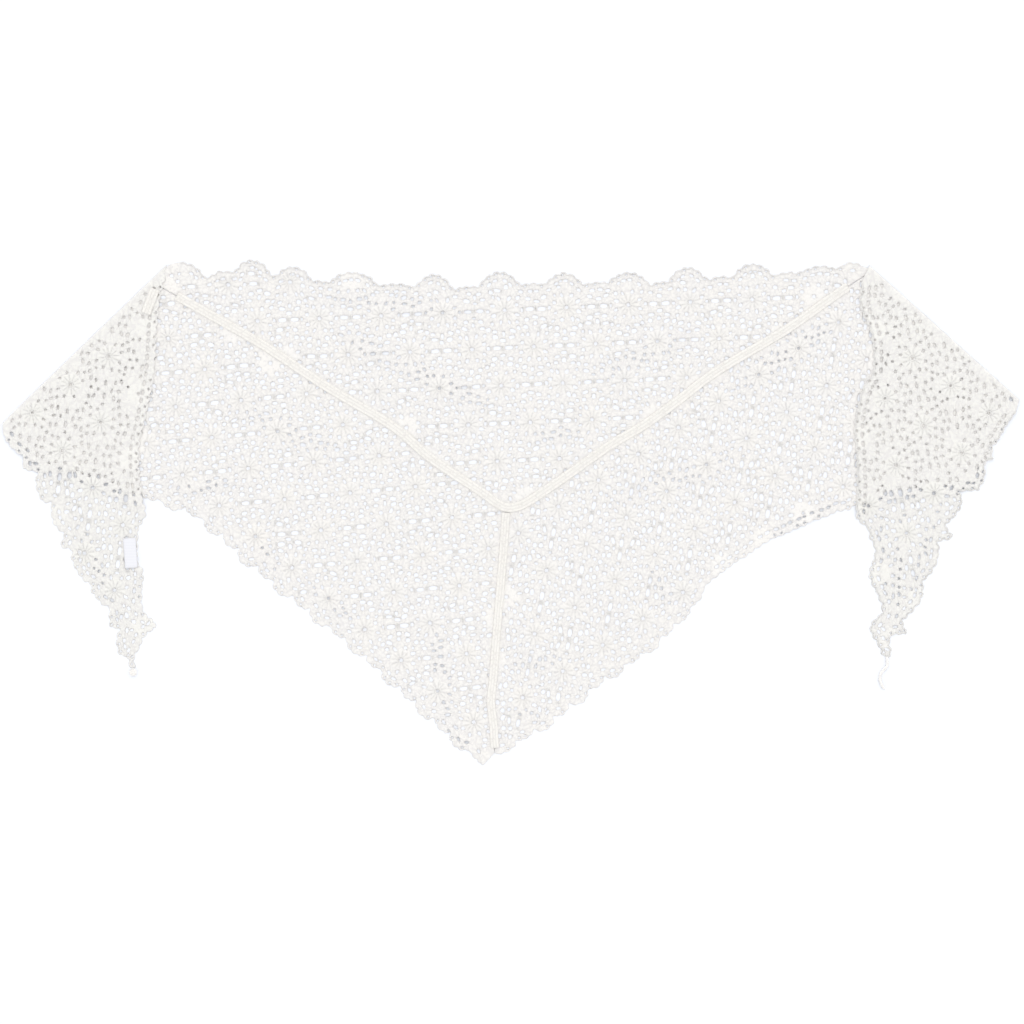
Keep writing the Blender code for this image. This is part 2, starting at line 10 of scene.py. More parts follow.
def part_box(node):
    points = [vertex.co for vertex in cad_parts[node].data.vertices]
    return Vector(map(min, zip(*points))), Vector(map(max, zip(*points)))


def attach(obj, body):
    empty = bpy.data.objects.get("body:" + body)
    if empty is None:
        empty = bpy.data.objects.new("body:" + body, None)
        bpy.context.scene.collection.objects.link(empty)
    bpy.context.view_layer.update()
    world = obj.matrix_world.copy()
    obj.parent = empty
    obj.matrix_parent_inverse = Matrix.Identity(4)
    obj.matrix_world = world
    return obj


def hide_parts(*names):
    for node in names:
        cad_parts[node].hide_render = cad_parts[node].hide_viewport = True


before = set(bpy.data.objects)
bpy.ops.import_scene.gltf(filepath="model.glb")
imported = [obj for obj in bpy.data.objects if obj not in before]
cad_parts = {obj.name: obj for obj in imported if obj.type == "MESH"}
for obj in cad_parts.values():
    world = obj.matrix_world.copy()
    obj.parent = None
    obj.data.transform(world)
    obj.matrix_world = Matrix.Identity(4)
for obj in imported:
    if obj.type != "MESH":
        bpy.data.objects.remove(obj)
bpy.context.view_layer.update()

mm = 0.001  # every size below is in millimetres, and a finished mesh is in metres

# Lengths shared by every sewn piece.
scarf = {
    "wall": 1.6,          # thickness of the lace
    "layer": 1.9,         # height of the second layer
    "edgeShare": 0.3,     # share of the wall left at the rim of a gap
    "yarnRound": 1.4,     # how far in the yarn is rounded
    "yarnPitch": 2.6,     # from one yarn to the next beside a gap
    "yarnGroove": 0.25,   # depth between two yarns
    "meshStep": 1.5,      # spacing of the surface's points
    "barWidth": 1.3,      # the narrowest bar between two gaps
    "rowShare": 0.866,    # from one row of points to the next, as a share of meshStep
    "rimClear": 0.42,     # points keep this share of meshStep clear of a rim
    "grooveStart": 1.05,  # from a gap's rim to its first groove
    "grooveFade": 6.0,    # the grooves fade out over this distance
}

# Each fold line from its low end to its high end, and the panel that each folded end lies on.
leftFold = ((-559.0, 99.5), (-379.0, 272.5))
rightFold = ((559.0, 124.5), (394.0, 272.0))
foldedEnds = {"left_end": ("left_panel", leftFold), "right_end": ("right_panel", rightFold)}


def runLengths(path):
    return np.concatenate(([0.0], np.cumsum(np.hypot(*np.diff(path, axis=0).T))))


def curvePlace(before, one, two, after, t):
    # Place on a smooth curve through four points, at a share t of the way from one to two.
    bend = (2 * before - 5 * one + 4 * two - after) * t * t
    bend += (3 * one - 3 * two + after - before) * t ** 3
    return 0.5 * (2 * one + (two - before) * t + bend)


def nodeMesh(name):
    # Merged points in millimetres and triangles of a node of the frame.
    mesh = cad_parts[name].data
    places = np.empty(len(mesh.vertices) * 3)
    mesh.vertices.foreach_get("co", places)
    mesh.calc_loop_triangles()
    corners = np.empty(len(mesh.loop_triangles) * 3, dtype=np.int64)
    mesh.loop_triangles.foreach_get("vertices", corners)
    points, merged = np.unique(places.reshape(-1, 3), axis=0, return_inverse=True)
    return points / mm, merged.reshape(-1)[corners].reshape(-1, 3)


def nodeOutline(name):
    # Rim of a flat node's upper side, anticlockwise, in millimetres.
    points, triangles = nodeMesh(name)
    one, two, three = (points[triangles[:, corner]] for corner in range(3))
    normals = np.cross(two - one, three - one)
    upper = normals[:, 2] > 0.35 * np.linalg.norm(normals, axis=1)
    sides = np.concatenate([triangles[upper][:, pair] for pair in ((0, 1), (1, 2), (2, 0))])
    there = set(map(tuple, sides.tolist()))
    following = {a: b for a, b in there if (b, a) not in there}
    loops = []
    while following:
        start, index = next(iter(following.items()))
        loop = [start]
        del following[start]
        while index != start and index in following:
            loop.append(index)
            index = following.pop(index)
        loops.append(points[loop][:, :2])
    return max(loops, key=lambda loop: np.ptp(loop[:, 0]) * np.ptp(loop[:, 1]))


def insideOutline(points, outline):
    result = np.zeros(len(points), dtype=bool)
    x, y = points.T
    for one, two in zip(outline, np.roll(outline, -1, axis=0)):
        if one[1] != two[1]:
            crossing = (one[1] > y) != (two[1] > y)
            result ^= crossing & (x < one[0] + (y - one[1]) / (two[1] - one[1]) * (two[0] - one[0]))
    return result


def pathDistance(points, path, closed=True):
    # Distance of each point from a path, and the travel direction of its nearest stretch.
    nearest = np.full(len(points), 1e9)
    heading = np.zeros((len(points), 2))
    ends = np.roll(path, -1, axis=0) if closed else path[1:]
    for one, two in zip(path, ends):
        run = two - one
        share = np.clip((points - one) @ run / max(run @ run, 1e-9), 0.0, 1.0)
        away = np.hypot(*(points - one - share[:, None] * run).T)
        closer = away < nearest
        nearest[closer] = away[closer]
        heading[closer] = run / max(np.hypot(*run), 1e-9)
    return nearest, heading


def foldDepth(points, fold):
    # Distance from a fold line, positive on the scarf's side of it.
    low, high = (np.array(end) for end in fold)
    run = high - low
    cross = run[0] * (points[:, 1] - low[1]) - run[1] * (points[:, 0] - low[0])
    return cross / np.hypot(*run) * np.sign(low[0])


print("reading the outlines of the frame")
panelNames = ("yoke_panel", "left_panel", "right_panel", "left_end", "right_end")
outlines = {name: nodeOutline(name) for name in panelNames}


# One repeat of the lace, charted about its flower's middle in a cell of 68 x 83 mm whose
# corners and middle all hold a flower. Columns: x, y, length, width, turn in degrees,
# how three-cornered the gap is, and which mirror images it has.
laceCell = (68.0, 83.0)
laceChart = (
    (0.0, 0.0, 4.0, 4.0, 0, 0.0, "one"),             # eyelet of the flower
    (27.25, 0.0, 9.8, 4.5, 0, 0.0, "across"),        # the pair between two flowers
    (17.0, 20.75, 4.6, 4.0, 40, 0.05, "across"),
    (25.5, 11.6, 6.8, 4.0, -14, 0.04, "four"),
    (9.6, 22.6, 6.4, 3.9, 12, 0.03, "four"),
    (0.0, 25.4, 5.0, 4.0, 90, 0.08, "along"),
    (0.0, 33.4, 6.0, 3.5, 0, 0.0, "along"),
    (18.6, 0.0, 4.2, 3.2, 90, 0.0, "across"),
    (13.9, 13.9, 4.2, 3.3, 45, 0.06, "four"),
)
flower = {
    "petals": 8,
    "eyeletRim": 2.9,     # radius where the petals start
    "petalEnd": 12.4,     # radius where they end
    "rise": 0.5,          # height of a petal over the yarns around it
    "gapRadius": 14.3,    # ring of gaps between the petals' tips
    "gapLength": 4.9,
    "gapWidth": 3.4,
    "gapCorner": 0.08,
    "reach": 16.0,        # gaps this near the middle stay round it on a slanting cell
    "domeSkew": 0.8,      # a petal is fullest a little towards the eyelet
    "roundness": 0.6,
    "dip": 0.25,          # depth of the lines between two petals
}
mirrorImages = {
    "one": ((1, 1),),
    "across": ((1, 1), (-1, 1)),
    "along": ((1, 1), (1, -1)),
    "four": ((1, 1), (-1, 1), (1, -1), (-1, -1)),
}


def chartedGaps():
    rows = []
    for x, y, length, width, turn, corner, images in laceChart:
        for across, along in mirrorImages[images]:
            rows.append((x * across, y * along, length, width, turn * across * along, corner))
    for petal in range(flower["petals"]):
        turn = 2 * math.pi * (petal + 0.5) / flower["petals"]
        x = flower["gapRadius"] * math.cos(turn)
        y = flower["gapRadius"] * math.sin(turn)
        rows.append((x, y, flower["gapLength"], flower["gapWidth"], math.degrees(turn),
                     flower["gapCorner"]))
    return np.array(rows)


def latticeOf(name):
    # Flower's place, the wide and tall steps of the cell, and the direction of its pairs.
    origin, stepOne, stepTwo = (np.array(value, dtype=float) for value in lattices[name])
    wide = stepOne + stepTwo
    tall = stepOne - stepTwo
    if np.cross(wide, tall) < 0:
        tall = -tall
    return origin, wide, tall, math.atan2(wide[1], wide[0])


def nearestFlower(points, lattice):
    # From the nearest flower's middle to each point, along the pairs and across them.
    origin, wide, tall, turn = lattice
    shares = (points - origin) @ np.linalg.inv(np.array((wide, tall)))
    best = None
    for shift in (0.0, 0.5):
        middle = np.round(shares - shift) + shift
        away = points - origin - middle @ np.array((wide, tall))
        if best is None:
            best = away
        else:
            closer = np.hypot(*away.T) < np.hypot(*best.T)
            best = np.where(closer[:, None], away, best)
    cosine, sine = math.cos(turn), math.sin(turn)
    return np.stack((best @ (cosine, sine), best @ (-sine, cosine)), axis=1)


def gapReach(gaps, x, y):
    # Half the size of each gap towards a direction given in its own axes.
    length = np.hypot(x, y) + 1e-9
    return 0.5 / np.sqrt((x / length / gaps[:, 2]) ** 2 + (y / length / gaps[:, 3]) ** 2)


def gapRoom(gap, others):
    # Width of the narrowest bar between a gap and others.
    away = others[:, :2] - gap[:2]
    distance = np.hypot(*away.T)
    own = np.repeat(gap[None], len(others), axis=0)
    reach = 0.0
    for gaps in (own, others):
        cosine, sine = np.cos(gaps[:, 4]), np.sin(gaps[:, 4])
        reach = reach + gapReach(gaps, away @ (1, 0) * cosine + away @ (0, 1) * sine,
                                 away @ (0, 1) * cosine - away @ (1, 0) * sine)
    return distance - reach


gapLook = {
    "points": 10,         # corners of a gap's rim
    "squareness": 2.5,    # 2 is an oval, and more is squarer
    "tries": (1.0, 0.8, 0.62),   # sizes at which a gap is fitted in
    "smallest": 1.9,      # a narrower gap is left out
    "near": 16.0,         # gaps further off can't touch it
    "search": 6.0,        # half the square about a gap in which it may be the nearest
    "rimReach": 9.0,      # how far from a rim its distance is known
}


def keepApart(wanted, kept):
    # Adds each gap that leaves a bar beside the gaps before it, smaller where it must be.
    room = np.empty((len(wanted) + len(kept), 6))
    room[:len(kept)] = kept
    count = len(kept)
    for gap in wanted:
        for size in gapLook["tries"]:
            tried = gap.copy()
            tried[2:4] *= size
            if tried[3] < gapLook["smallest"]:
                break
            off = np.abs(room[:count, :2] - tried[:2]).max(axis=1)
            near = room[:count][off < gapLook["near"]]
            if len(near) == 0 or gapRoom(tried, near).min() > scarf["barWidth"]:
                room[count] = tried
                count += 1
                break
    return room[:count]


pairLength = 9.0  # gaps longer than this keep their place and size
uneven = {
    "place": 0.9,         # how far a worked gap strays, in millimetres
    "size": 0.26,
    "turn": 14.0,
    "steadyShare": 0.3,   # share of all three for the pairs and eyelets
    "onCrease": 0.45,     # share of its size lost on a crease, where the yarns close up
    "doubled": 0.7,       # size where an end lies on a panel
}


def cellMiddles(lattice, outline, margin):
    # Middle of every flower on the cells that may touch an outline, with more cells around.
    origin, wide, tall, _ = lattice
    shares = (outline - origin) @ np.linalg.inv(np.array((wide, tall)))
    low = np.floor(shares.min(0)).astype(int) - margin
    high = np.ceil(shares.max(0)).astype(int) + margin
    return [
        origin + (across + shift) * wide + (along + shift) * tall
        for shift in (0.0, 0.5)
        for across in range(low[0], high[0] + 1)
        for along in range(low[1], high[1] + 1)]


def latticeGaps(lattice, outline, seed):
    # Every gap of the chart on each cell that may touch the outline, a little uneven.
    _, wide, tall, turn = lattice
    chart = chartedGaps()
    draw = np.random.RandomState(seed)
    away = chart[:, :2] / laceCell @ np.array((wide, tall))
    cosine, sine = math.cos(turn), math.sin(turn)
    unslanted = chart[:, :1] * (cosine, sine) + chart[:, 1:2] * (-sine, cosine)
    close = np.hypot(chart[:, 0], chart[:, 1]) < flower["reach"]
    away[close] = unslanted[close]
    steady = (chart[:, 2] > pairLength) | (chart[:, 2] == chart[:, 3])
    amount = np.where(steady, uneven["steadyShare"], 1.0)[:, None]
    cells = []
    for middle in cellMiddles(lattice, outline, 1):
        loose = draw.uniform(-1.0, 1.0, (len(chart), 5))
        rows = np.empty((len(chart), 6))
        rows[:, :2] = middle + away + uneven["place"] * loose[:, :2] * amount
        rows[:, 2:4] = chart[:, 2:4] * (1.0 + uneven["size"] * loose[:, 2:4] * amount)
        stray = uneven["turn"] * loose[:, 4] * amount[:, 0]
        rows[:, 4] = turn + np.radians(chart[:, 4] + stray)
        rows[:, 5] = chart[:, 5]
        cells.append(rows)
    order = np.argsort(~np.tile(steady, len(cells)), kind="stable")
    return np.concatenate(cells)[order]


# The worked edge: small loops stand out along every free hem, with a row of gaps inside.
frill = {
    "pitch": 9.4,         # from one loop to the next
    "rise": 2.5,          # how far a loop stands out
    "inset": 1.1,         # the line between two loops lies this far in
    "step": 1.5,          # spacing of the edge's points
    "eyeInset": 3.6,      # the small hole in each loop
    "eyeSize": 2.2,
    "eyeRound": 0.9,      # its width as a share of its length
    "gapInset": 8.2,      # the row of long gaps
    "gapLength": 5.6,
    "gapWidth": 3.2,
    "gapCorner": 0.04,
    "seamStep": 6.0,      # spacing of the points where the edge is sewn or folded
    "seamMargin": 2.6,    # solid strip under a tape
    "laceMargin": 12.0,   # where the charted lace ends
    "pitchRange": (0.82, 1.18),  # from the shortest to the longest loop, and so on below
    "riseRange": (0.75, 1.15),
    "sizeRange": (0.85, 1.15),
    "widthRange": (0.85, 1.1),
    "turnRange": (-0.15, 0.15),
    "fullness": 0.75,     # less than 1 makes a loop rounder
    "fade": 6.0,          # the loops sink into the ends of a hem over this length
    "bareEnd": 3.0,       # no gap this near the end of a hem
    "fromSeam": 2.0,      # an edge this near another panel is sewn
    "endFromFold": 3.0,   # an edge this near a fold line is folded
    "panelFromFold": 3.5,
    "gapClear": 0.8,      # least cloth outside a gap
}


def denseEdge(outline, free):
    # The outline with close points along its free stretches, and which points are free.
    places, flags = [], []
    count = len(outline)
    for index in range(count):
        before, one, two, after = (outline[(index + shift) % count] for shift in (-1, 0, 1, 2))
        span = np.hypot(*(two - one))
        loose = free[index] and free[(index + 1) % count]
        steps = max(1, round(span / frill["step" if loose else "seamStep"]))
        for step in range(steps):
            t = step / steps
            if loose:
                places.append(curvePlace(before, one, two, after, t))
            else:
                places.append(one + (two - one) * t)
            flags.append(loose)
    return np.array(places), np.array(flags)


def frilledEdge(outline, free, seed):
    # The outline with its loops, which of its points are free, and the gaps of the border.
    places, loose = denseEdge(outline, free)
    draw = np.random.RandomState(seed)
    if loose.all():
        first = 0
    else:
        first = next(index for index in range(len(loose)) if loose[index] and not loose[index - 1])
    places = np.roll(places, -first, axis=0)
    loose = np.roll(loose, -first)
    around = 4  # points to each side that give the edge's direction
    ahead = np.roll(places, -around, axis=0) - np.roll(places, around, axis=0)
    ahead /= np.hypot(*ahead.T)[:, None]
    outward = np.stack((ahead[:, 1], -ahead[:, 0]), axis=1)
    moved = places.copy()
    gaps = []
    index = 0
    while index < len(places):
        if not loose[index]:
            index += 1
            continue
        last = index
        while last < len(places) and loose[last]:
            last += 1
        lengths = runLengths(places[index:last])
        count = max(1, round(lengths[-1] / frill["pitch"]))
        ends = np.cumsum(np.concatenate(([0.0], draw.uniform(*frill["pitchRange"], count))))
        ends *= lengths[-1] / ends[-1]
        for one, two in zip(ends, ends[1:]):
            inside = (lengths >= one) & (lengths <= two)
            phase = (lengths[inside] - one) / (two - one)
            rise = frill["rise"] * draw.uniform(*frill["riseRange"])
            rise = rise * np.sin(math.pi * phase) ** frill["fullness"]
            toEnd = np.minimum(lengths[inside], lengths[-1] - lengths[inside])
            out = (rise - frill["inset"]) * np.clip(toEnd / frill["fade"], 0.0, 1.0)
            where = index + np.nonzero(inside)[0]
            moved[where] = places[where] + outward[where] * out[:, None]
            middle = index + np.searchsorted(lengths, 0.5 * (one + two))
            start = index + np.searchsorted(lengths, one)
            if min(one, lengths[-1] - two) > frill["bareEnd"]:
                top = rise.max() - frill["inset"] if len(rise) else 0.0
                eye = places[middle] + outward[middle] * (top - frill["eyeInset"])
                turn = math.atan2(ahead[middle][1], ahead[middle][0])
                size = frill["eyeSize"] * draw.uniform(*frill["sizeRange"])
                gaps.append((*eye, size, size * frill["eyeRound"], turn, 0.0))
                long = places[start] - outward[start] * frill["gapInset"]
                turn = math.atan2(ahead[start][1], ahead[start][0])
                length = frill["gapLength"] * draw.uniform(*frill["sizeRange"])
                width = frill["gapWidth"] * draw.uniform(*frill["widthRange"])
                turn = turn + draw.uniform(*frill["turnRange"])
                gaps.append((*long, length, width, turn, frill["gapCorner"]))
        index = last
    return moved, loose, np.array(gaps)


def gapRings(gaps):
    # Outline points of every gap: a squarish oval, or rounder at three corners.
    power = gapLook["squareness"]
    turns = 2 * math.pi * (np.arange(gapLook["points"]) + 0.5) / gapLook["points"]
    x = np.cos(turns)[None] / gaps[:, 2:3] * 2
    y = np.sin(turns)[None] / gaps[:, 3:4] * 2
    reach = (np.abs(x) ** power + np.abs(y) ** power) ** (-1 / power)
    reach = reach * (1.0 + gaps[:, 5:6] * np.cos(3 * turns)[None])
    along = reach * np.cos(turns)[None]
    across = reach * np.sin(turns)[None]
    cosine, sine = np.cos(gaps[:, 4:5]), np.sin(gaps[:, 4:5])
    placeX = gaps[:, :1] + along * cosine - across * sine
    placeY = gaps[:, 1:2] + along * sine + across * cosine
    return np.stack((placeX, placeY), axis=2)


def surfacePoints(edge, gaps):
    # An even field of points over the panel: place, distance from the nearest rim, nearest gap.
    step, share = scarf["meshStep"], scarf["rowShare"]
    power, reach, search = (gapLook[key] for key in ("squareness", "rimReach", "search"))
    low = edge.min(0) - step
    columns = int(np.ptp(edge[:, 0]) / step) + 4
    rows = int(np.ptp(edge[:, 1]) / (step * share)) + 4
    x = low[0] + step * (np.arange(columns)[None] + 0.5 * (np.arange(rows)[:, None] % 2))
    y = np.repeat(low[1] + share * step * np.arange(rows)[:, None], columns, axis=1)
    depth = np.full((rows, columns), 1e3)
    gapDepth = np.full((rows, columns), 1e3)
    nearest = np.full((rows, columns), -1)

    def window(lowest, highest):
        first = np.clip(((lowest - reach - low) / (step, share * step)).astype(int), 0, None)
        last = ((highest + reach - low) / (step, share * step)).astype(int) + 2
        return slice(first[1], last[1]), slice(first[0], last[0])

    for one, two in zip(edge, np.roll(edge, -1, axis=0)):
        part = window(np.minimum(one, two), np.maximum(one, two))
        run = two - one
        awayX, awayY = x[part] - one[0], y[part] - one[1]
        past = np.clip((awayX * run[0] + awayY * run[1]) / max(run @ run, 1e-9), 0.0, 1.0)
        away = np.hypot(awayX - past * run[0], awayY - past * run[1])
        depth[part] = np.minimum(depth[part], away)
    for order, gap in enumerate(gaps):
        part = window(gap[:2] - search, gap[:2] + search)
        cosine, sine = math.cos(gap[4]), math.sin(gap[4])
        awayX, awayY = x[part] - gap[0], y[part] - gap[1]
        along = (awayX * cosine + awayY * sine) / (0.5 * gap[2])
        across = (awayY * cosine - awayX * sine) / (0.5 * gap[3])
        scale = (np.abs(along) ** power + np.abs(across) ** power) ** (1 / power) + 1e-6
        away = np.hypot(awayX, awayY) * (1.0 - 1.0 / scale)
        depth[part] = np.minimum(depth[part], away)
        nearest[part] = np.where(away < gapDepth[part], order, nearest[part])
        gapDepth[part] = np.minimum(gapDepth[part], away)
    places = np.stack((x.ravel(), y.ravel()), axis=1)
    kept = depth.ravel() > scarf["rimClear"] * step
    kept[kept] = insideOutline(places[kept], edge)
    return places[kept], depth.ravel()[kept], nearest.ravel()[kept]


def triangulate(rings, extra, edge):
    # Triangles over rings and extra points that lie in the edge and outside every gap.
    counts = [len(ring) for ring in rings]
    places = np.concatenate(rings + [extra])
    ringOf = np.repeat(np.arange(len(rings)), counts)
    ringOf = np.concatenate((ringOf, np.full(len(extra), -1)))
    edges = []
    start = 0
    for count in counts:
        edges.extend((start + index, start + (index + 1) % count) for index in range(count))
        start += count
    found = delaunay_2d_cdt([Vector(place) for place in places], edges, [], 0, 1e-5, True)
    points = np.array([tuple(point) for point in found[0]])
    triangles = np.array(found[2])
    origin = np.array([ids[0] if ids else -1 for ids in found[3]])
    ringThere = np.where(origin >= 0, ringOf[origin], 0)
    rows = ringThere[triangles]
    inGap = (rows[:, 0] > 0) & (rows[:, 0] == rows[:, 1]) & (rows[:, 0] == rows[:, 2])
    onEdge = (rows == 0).all(axis=1)
    middles = points[triangles].mean(axis=1)
    outside = np.zeros(len(triangles), dtype=bool)
    outside[onEdge] = ~insideOutline(middles[onEdge], edge)
    return points, triangles[~inGap & ~outside], origin


def laceHeight(points, depth, lattice, covered):
    # Height of the worked surface over the underside: round yarns and raised petals.
    wall = scarf["wall"]
    inward = 1.0 - np.clip(depth / scarf["yarnRound"], 0.0, 1.0)
    share = scarf["edgeShare"]
    height = wall * (share + (1.0 - share) * np.sqrt(1.0 - inward ** 2))
    away = nearestFlower(points, lattice)
    radius = np.hypot(*away.T)
    turn = np.arctan2(away[:, 1], away[:, 0])
    past = np.clip(depth - scarf["grooveStart"], 0.0, None)
    groove = 0.5 - 0.5 * np.cos(2 * math.pi * past / scarf["yarnPitch"])
    groove *= scarf["yarnGroove"] * np.exp(-past / scarf["grooveFade"])
    span = (radius - flower["eyeletRim"]) / (flower["petalEnd"] - flower["eyeletRim"])
    inFlower = (span > 0.0) & (span < 1.0)
    span = np.clip(span, 0.0, 1.0)
    dome = np.sin(math.pi * span ** flower["domeSkew"]) ** flower["roundness"]
    lobe = np.abs(np.cos(0.5 * flower["petals"] * turn)) ** flower["roundness"]
    petal = flower["rise"] * (dome * lobe) - flower["dip"] * (1.0 - lobe) * dome
    petal = np.where(covered, np.minimum(petal, 0.0), petal)
    return height + np.where(inFlower, petal * np.clip(depth, 0.0, 1.0), -groove)


# Soft creases: x and y of each end, half width, height.
creases = {
    "yoke_panel": (
        (-183, 195.5, -131, 165.5, 17, 3.0),
        (-131, 165.5, -29, 121.5, 17, 3.5),
        (-203, 237.5, -37, 218.5, 15, 2.5),
        (91, 149.5, 197, 195.5, 18, 2.0),
        (21, 83.5, 79, 89.5, 13, 2.2),
    ),
    "left_panel": (
        (-365, 25.5, -310, 33.5, 11, 4.0),
        (-281, -24.5, -261, -62.5, 12, 3.0),
        (-221, -82.5, -175, -116.5, 12, 2.6),
        (-83, -128.5, -71, -226.5, 13, 3.6),
        (-299, 111.5, -179, 63.5, 20, 2.0),
        (-71, -232.5, -39, -262.5, 9, 4.0),
    ),
    "right_panel": (
        (253, 139.5, 357, 209.5, 20, 3.2),
        (1, -168.5, 57, -160.5, 14, 2.2),
        (215, -92.5, 289, -32.5, 10, 4.0),
        (291, -22.5, 363, 11.5, 11, 4.2),
        (1, -218.5, 35, -228.5, 12, 2.0),
        (151, -60.5, 177, -100.5, 14, 2.6),
        (121, 19.5, 253, 61.5, 22, 1.8),
    ),
    "left_end": (
        (-477, -8.5, -431, -116.5, 11, 3.4),
        (-415, -76.5, -407, -112.5, 7, 2.2),
        (-519, 99.5, -439, 149.5, 16, 2.4),
        (-429, 95.5, -409, 199.5, 12, 2.0),
    ),
    "right_end": (
        (405, -2.5, 415, -96.5, 8, 4.0),
        (433, 7.5, 421, -130.5, 9, 4.4),
        (471, 9.5, 437, -96.5, 10, 3.2),
        (401, 99.5, 425, 215.5, 14, 2.6),
        (451, 149.5, 509, 111.5, 16, 2.4),
    ),
}

# Lace of each panel: a flower's place, the steps to its two neighbours.
lattices = {
    "yoke_panel": ((-43, 179.5), (36, 43), (32, -40)),
    "left_panel": ((-217, 55.5), (32, 41), (40, -34)),
    "right_panel": ((215, 52.5), (-31, 41), (44, 29)),
    "left_end": ((-451, 99.5), (42, 31), (-33, 41)),
    "right_end": ((453, 95.5), (-42, 30), (30, 44)),
}


softened = 0.35   # the yarns lie lower than the solid's straight creases
creaseEnd = 0.35  # share of its height that a crease keeps at its two ends


def creaseHeight(points, rows):
    height = np.zeros(len(points))
    for xOne, yOne, xTwo, yTwo, halfWidth, rise in rows:
        one, run = np.array((xOne, yOne)), np.array((xTwo - xOne, yTwo - yOne))
        share = np.clip((points - one) @ run / (run @ run), 0.0, 1.0)
        away = np.hypot(*(points - one - share[:, None] * run).T)
        across = np.cos(0.5 * math.pi * np.clip(away / halfWidth, 0.0, 1.0)) ** 2
        along = creaseEnd + (1.0 - creaseEnd) * np.sin(math.pi * share)
        height = np.maximum(height, softened * rise * across * along)
    return height


foldShape = {
    "dropStart": 7.0,     # an end starts to sink this far past the panel under it
    "dropRun": 10.0,      # and is down on the table after this much more
    "turnStart": 0.6,     # from the fold line to where the layer starts to rise
    "turnRun": 1.2,
    "turnHeight": 0.3,    # height of the underside at the fold line
}


def clothHeight(name, points):
    # Height of the cloth's underside: on the table, or on the panel that an end lies on.
    height = creaseHeight(points, creases[name])
    if name in foldedEnds:
        below, fold = foldedEnds[name]
        away, _ = pathDistance(points, outlines[below])
        past = np.where(insideOutline(points, outlines[below]), -away, away)
        drop = np.clip((past - foldShape["dropStart"]) / foldShape["dropRun"], 0.0, 1.0)
        depth = foldDepth(points, fold)
        turned = np.clip((depth - foldShape["turnStart"]) / foldShape["turnRun"], 0.0, 1.0)
        layer = scarf["layer"] * (1.0 - drop * drop * (3.0 - 2.0 * drop))
        height = (height + layer) * turned + foldShape["turnHeight"] * (1.0 - turned)
    return height


coverMargin = 2.0  # a cover counts as reaching this much further


def isCovered(name, points):
    # Whether a point lies under a folded end, a tape or the label.
    covered = np.zeros(len(points), dtype=bool)
    for cover in covers[name]:
        covered |= insideOutline(points, cover)
        covered |= pathDistance(points, cover)[0] < coverMargin
    return covered


print("reading what lies on each panel")
bandOutlines = [nodeOutline(name) for name in ("v_tape", "centre_tape")]
covers = {
    name: [outlines["left_end"], outlines["right_end"]] + bandOutlines
    for name in panelNames[:3]}
covers["left_end"] = [nodeOutline("left_fold_tape"), nodeOutline("care_label")]
covers["right_end"] = []
panelGaps = {}


def freePoints(name, outline):
    # Which points of a panel's outline are a free hem, neither sewn nor folded.
    if name in foldedEnds:
        return foldDepth(outline, foldedEnds[name][1]) > frill["endFromFold"]
    free = np.ones(len(outline), dtype=bool)
    for other in panelNames[:3]:
        if other != name:
            free &= pathDistance(outline, outlines[other])[0] > frill["fromSeam"]
    for fold in (leftFold, rightFold):
        free &= foldDepth(outline, fold) > frill["panelFromFold"]
    return free


def lacePanel(name, seed):
    # One panel: its worked edge, the gaps that fit inside it, and the stitches on it.
    outline = outlines[name]
    edge, loose, border = frilledEdge(outline, freePoints(name, outline), seed)
    lattice = latticeOf(name)
    wanted = latticeGaps(lattice, outline, seed + 1)
    wanted = wanted[insideOutline(wanted[:, :2], edge)]
    hem = edge[loose][::4]
    toHem = np.hypot(wanted[:, None, 0] - hem[None, :, 0], wanted[:, None, 1] - hem[None, :, 1])
    toEdge = pathDistance(wanted[:, :2], edge)[0]
    roomy = toHem.min(axis=1) > frill["laceMargin"]
    roomy &= toEdge > frill["seamMargin"] + 0.5 * wanted[:, 2]
    wanted = wanted[roomy]
    raised = creaseHeight(wanted[:, :2], creases[name]) / scarf["wall"]
    wanted[:, 2:4] *= 1.0 - uneven["onCrease"] * np.clip(raised, 0.0, 1.0)[:, None]
    if name in foldedEnds:
        doubled = insideOutline(wanted[:, :2], outlines[foldedEnds[name][0]])
        wanted[doubled, 2:4] *= uneven["doubled"]
    rims = gapRings(border)
    clear = pathDistance(rims.reshape(-1, 2), edge)[0].reshape(len(border), -1).min(axis=1)
    border = border[(clear > frill["gapClear"]) & insideOutline(border[:, :2], edge)]
    gaps = keepApart(border, np.empty((0, 6)))
    gaps = keepApart(wanted, gaps)
    if name not in foldedEnds:
        gaps = gaps[~showsThrough(gaps)]
    panelGaps[name] = gaps
    rings = [edge] + list(gapRings(gaps))
    points, depth, nearest = surfacePoints(edge, gaps)
    lines = stitchLines(name, edge, loose, gaps, lattice)
    return buildLace(name, rings, gaps, points, depth, nearest, lattice, lines)


def showsThrough(gaps):
    # Gaps of a lower layer that would line up with those of the end lying on it.
    lined = np.zeros(len(gaps), dtype=bool)
    for above in foldedEnds:
        upper = panelGaps[above]
        away = np.hypot(gaps[:, None, 0] - upper[None, :, 0],
                        gaps[:, None, 1] - upper[None, :, 1])
        reach = 0.5 * (gaps[:, None, 2] + upper[None, :, 2]) - 0.5
        lined |= (away < reach).any(axis=1) & insideOutline(gaps[:, :2], outlines[above])
    return lined


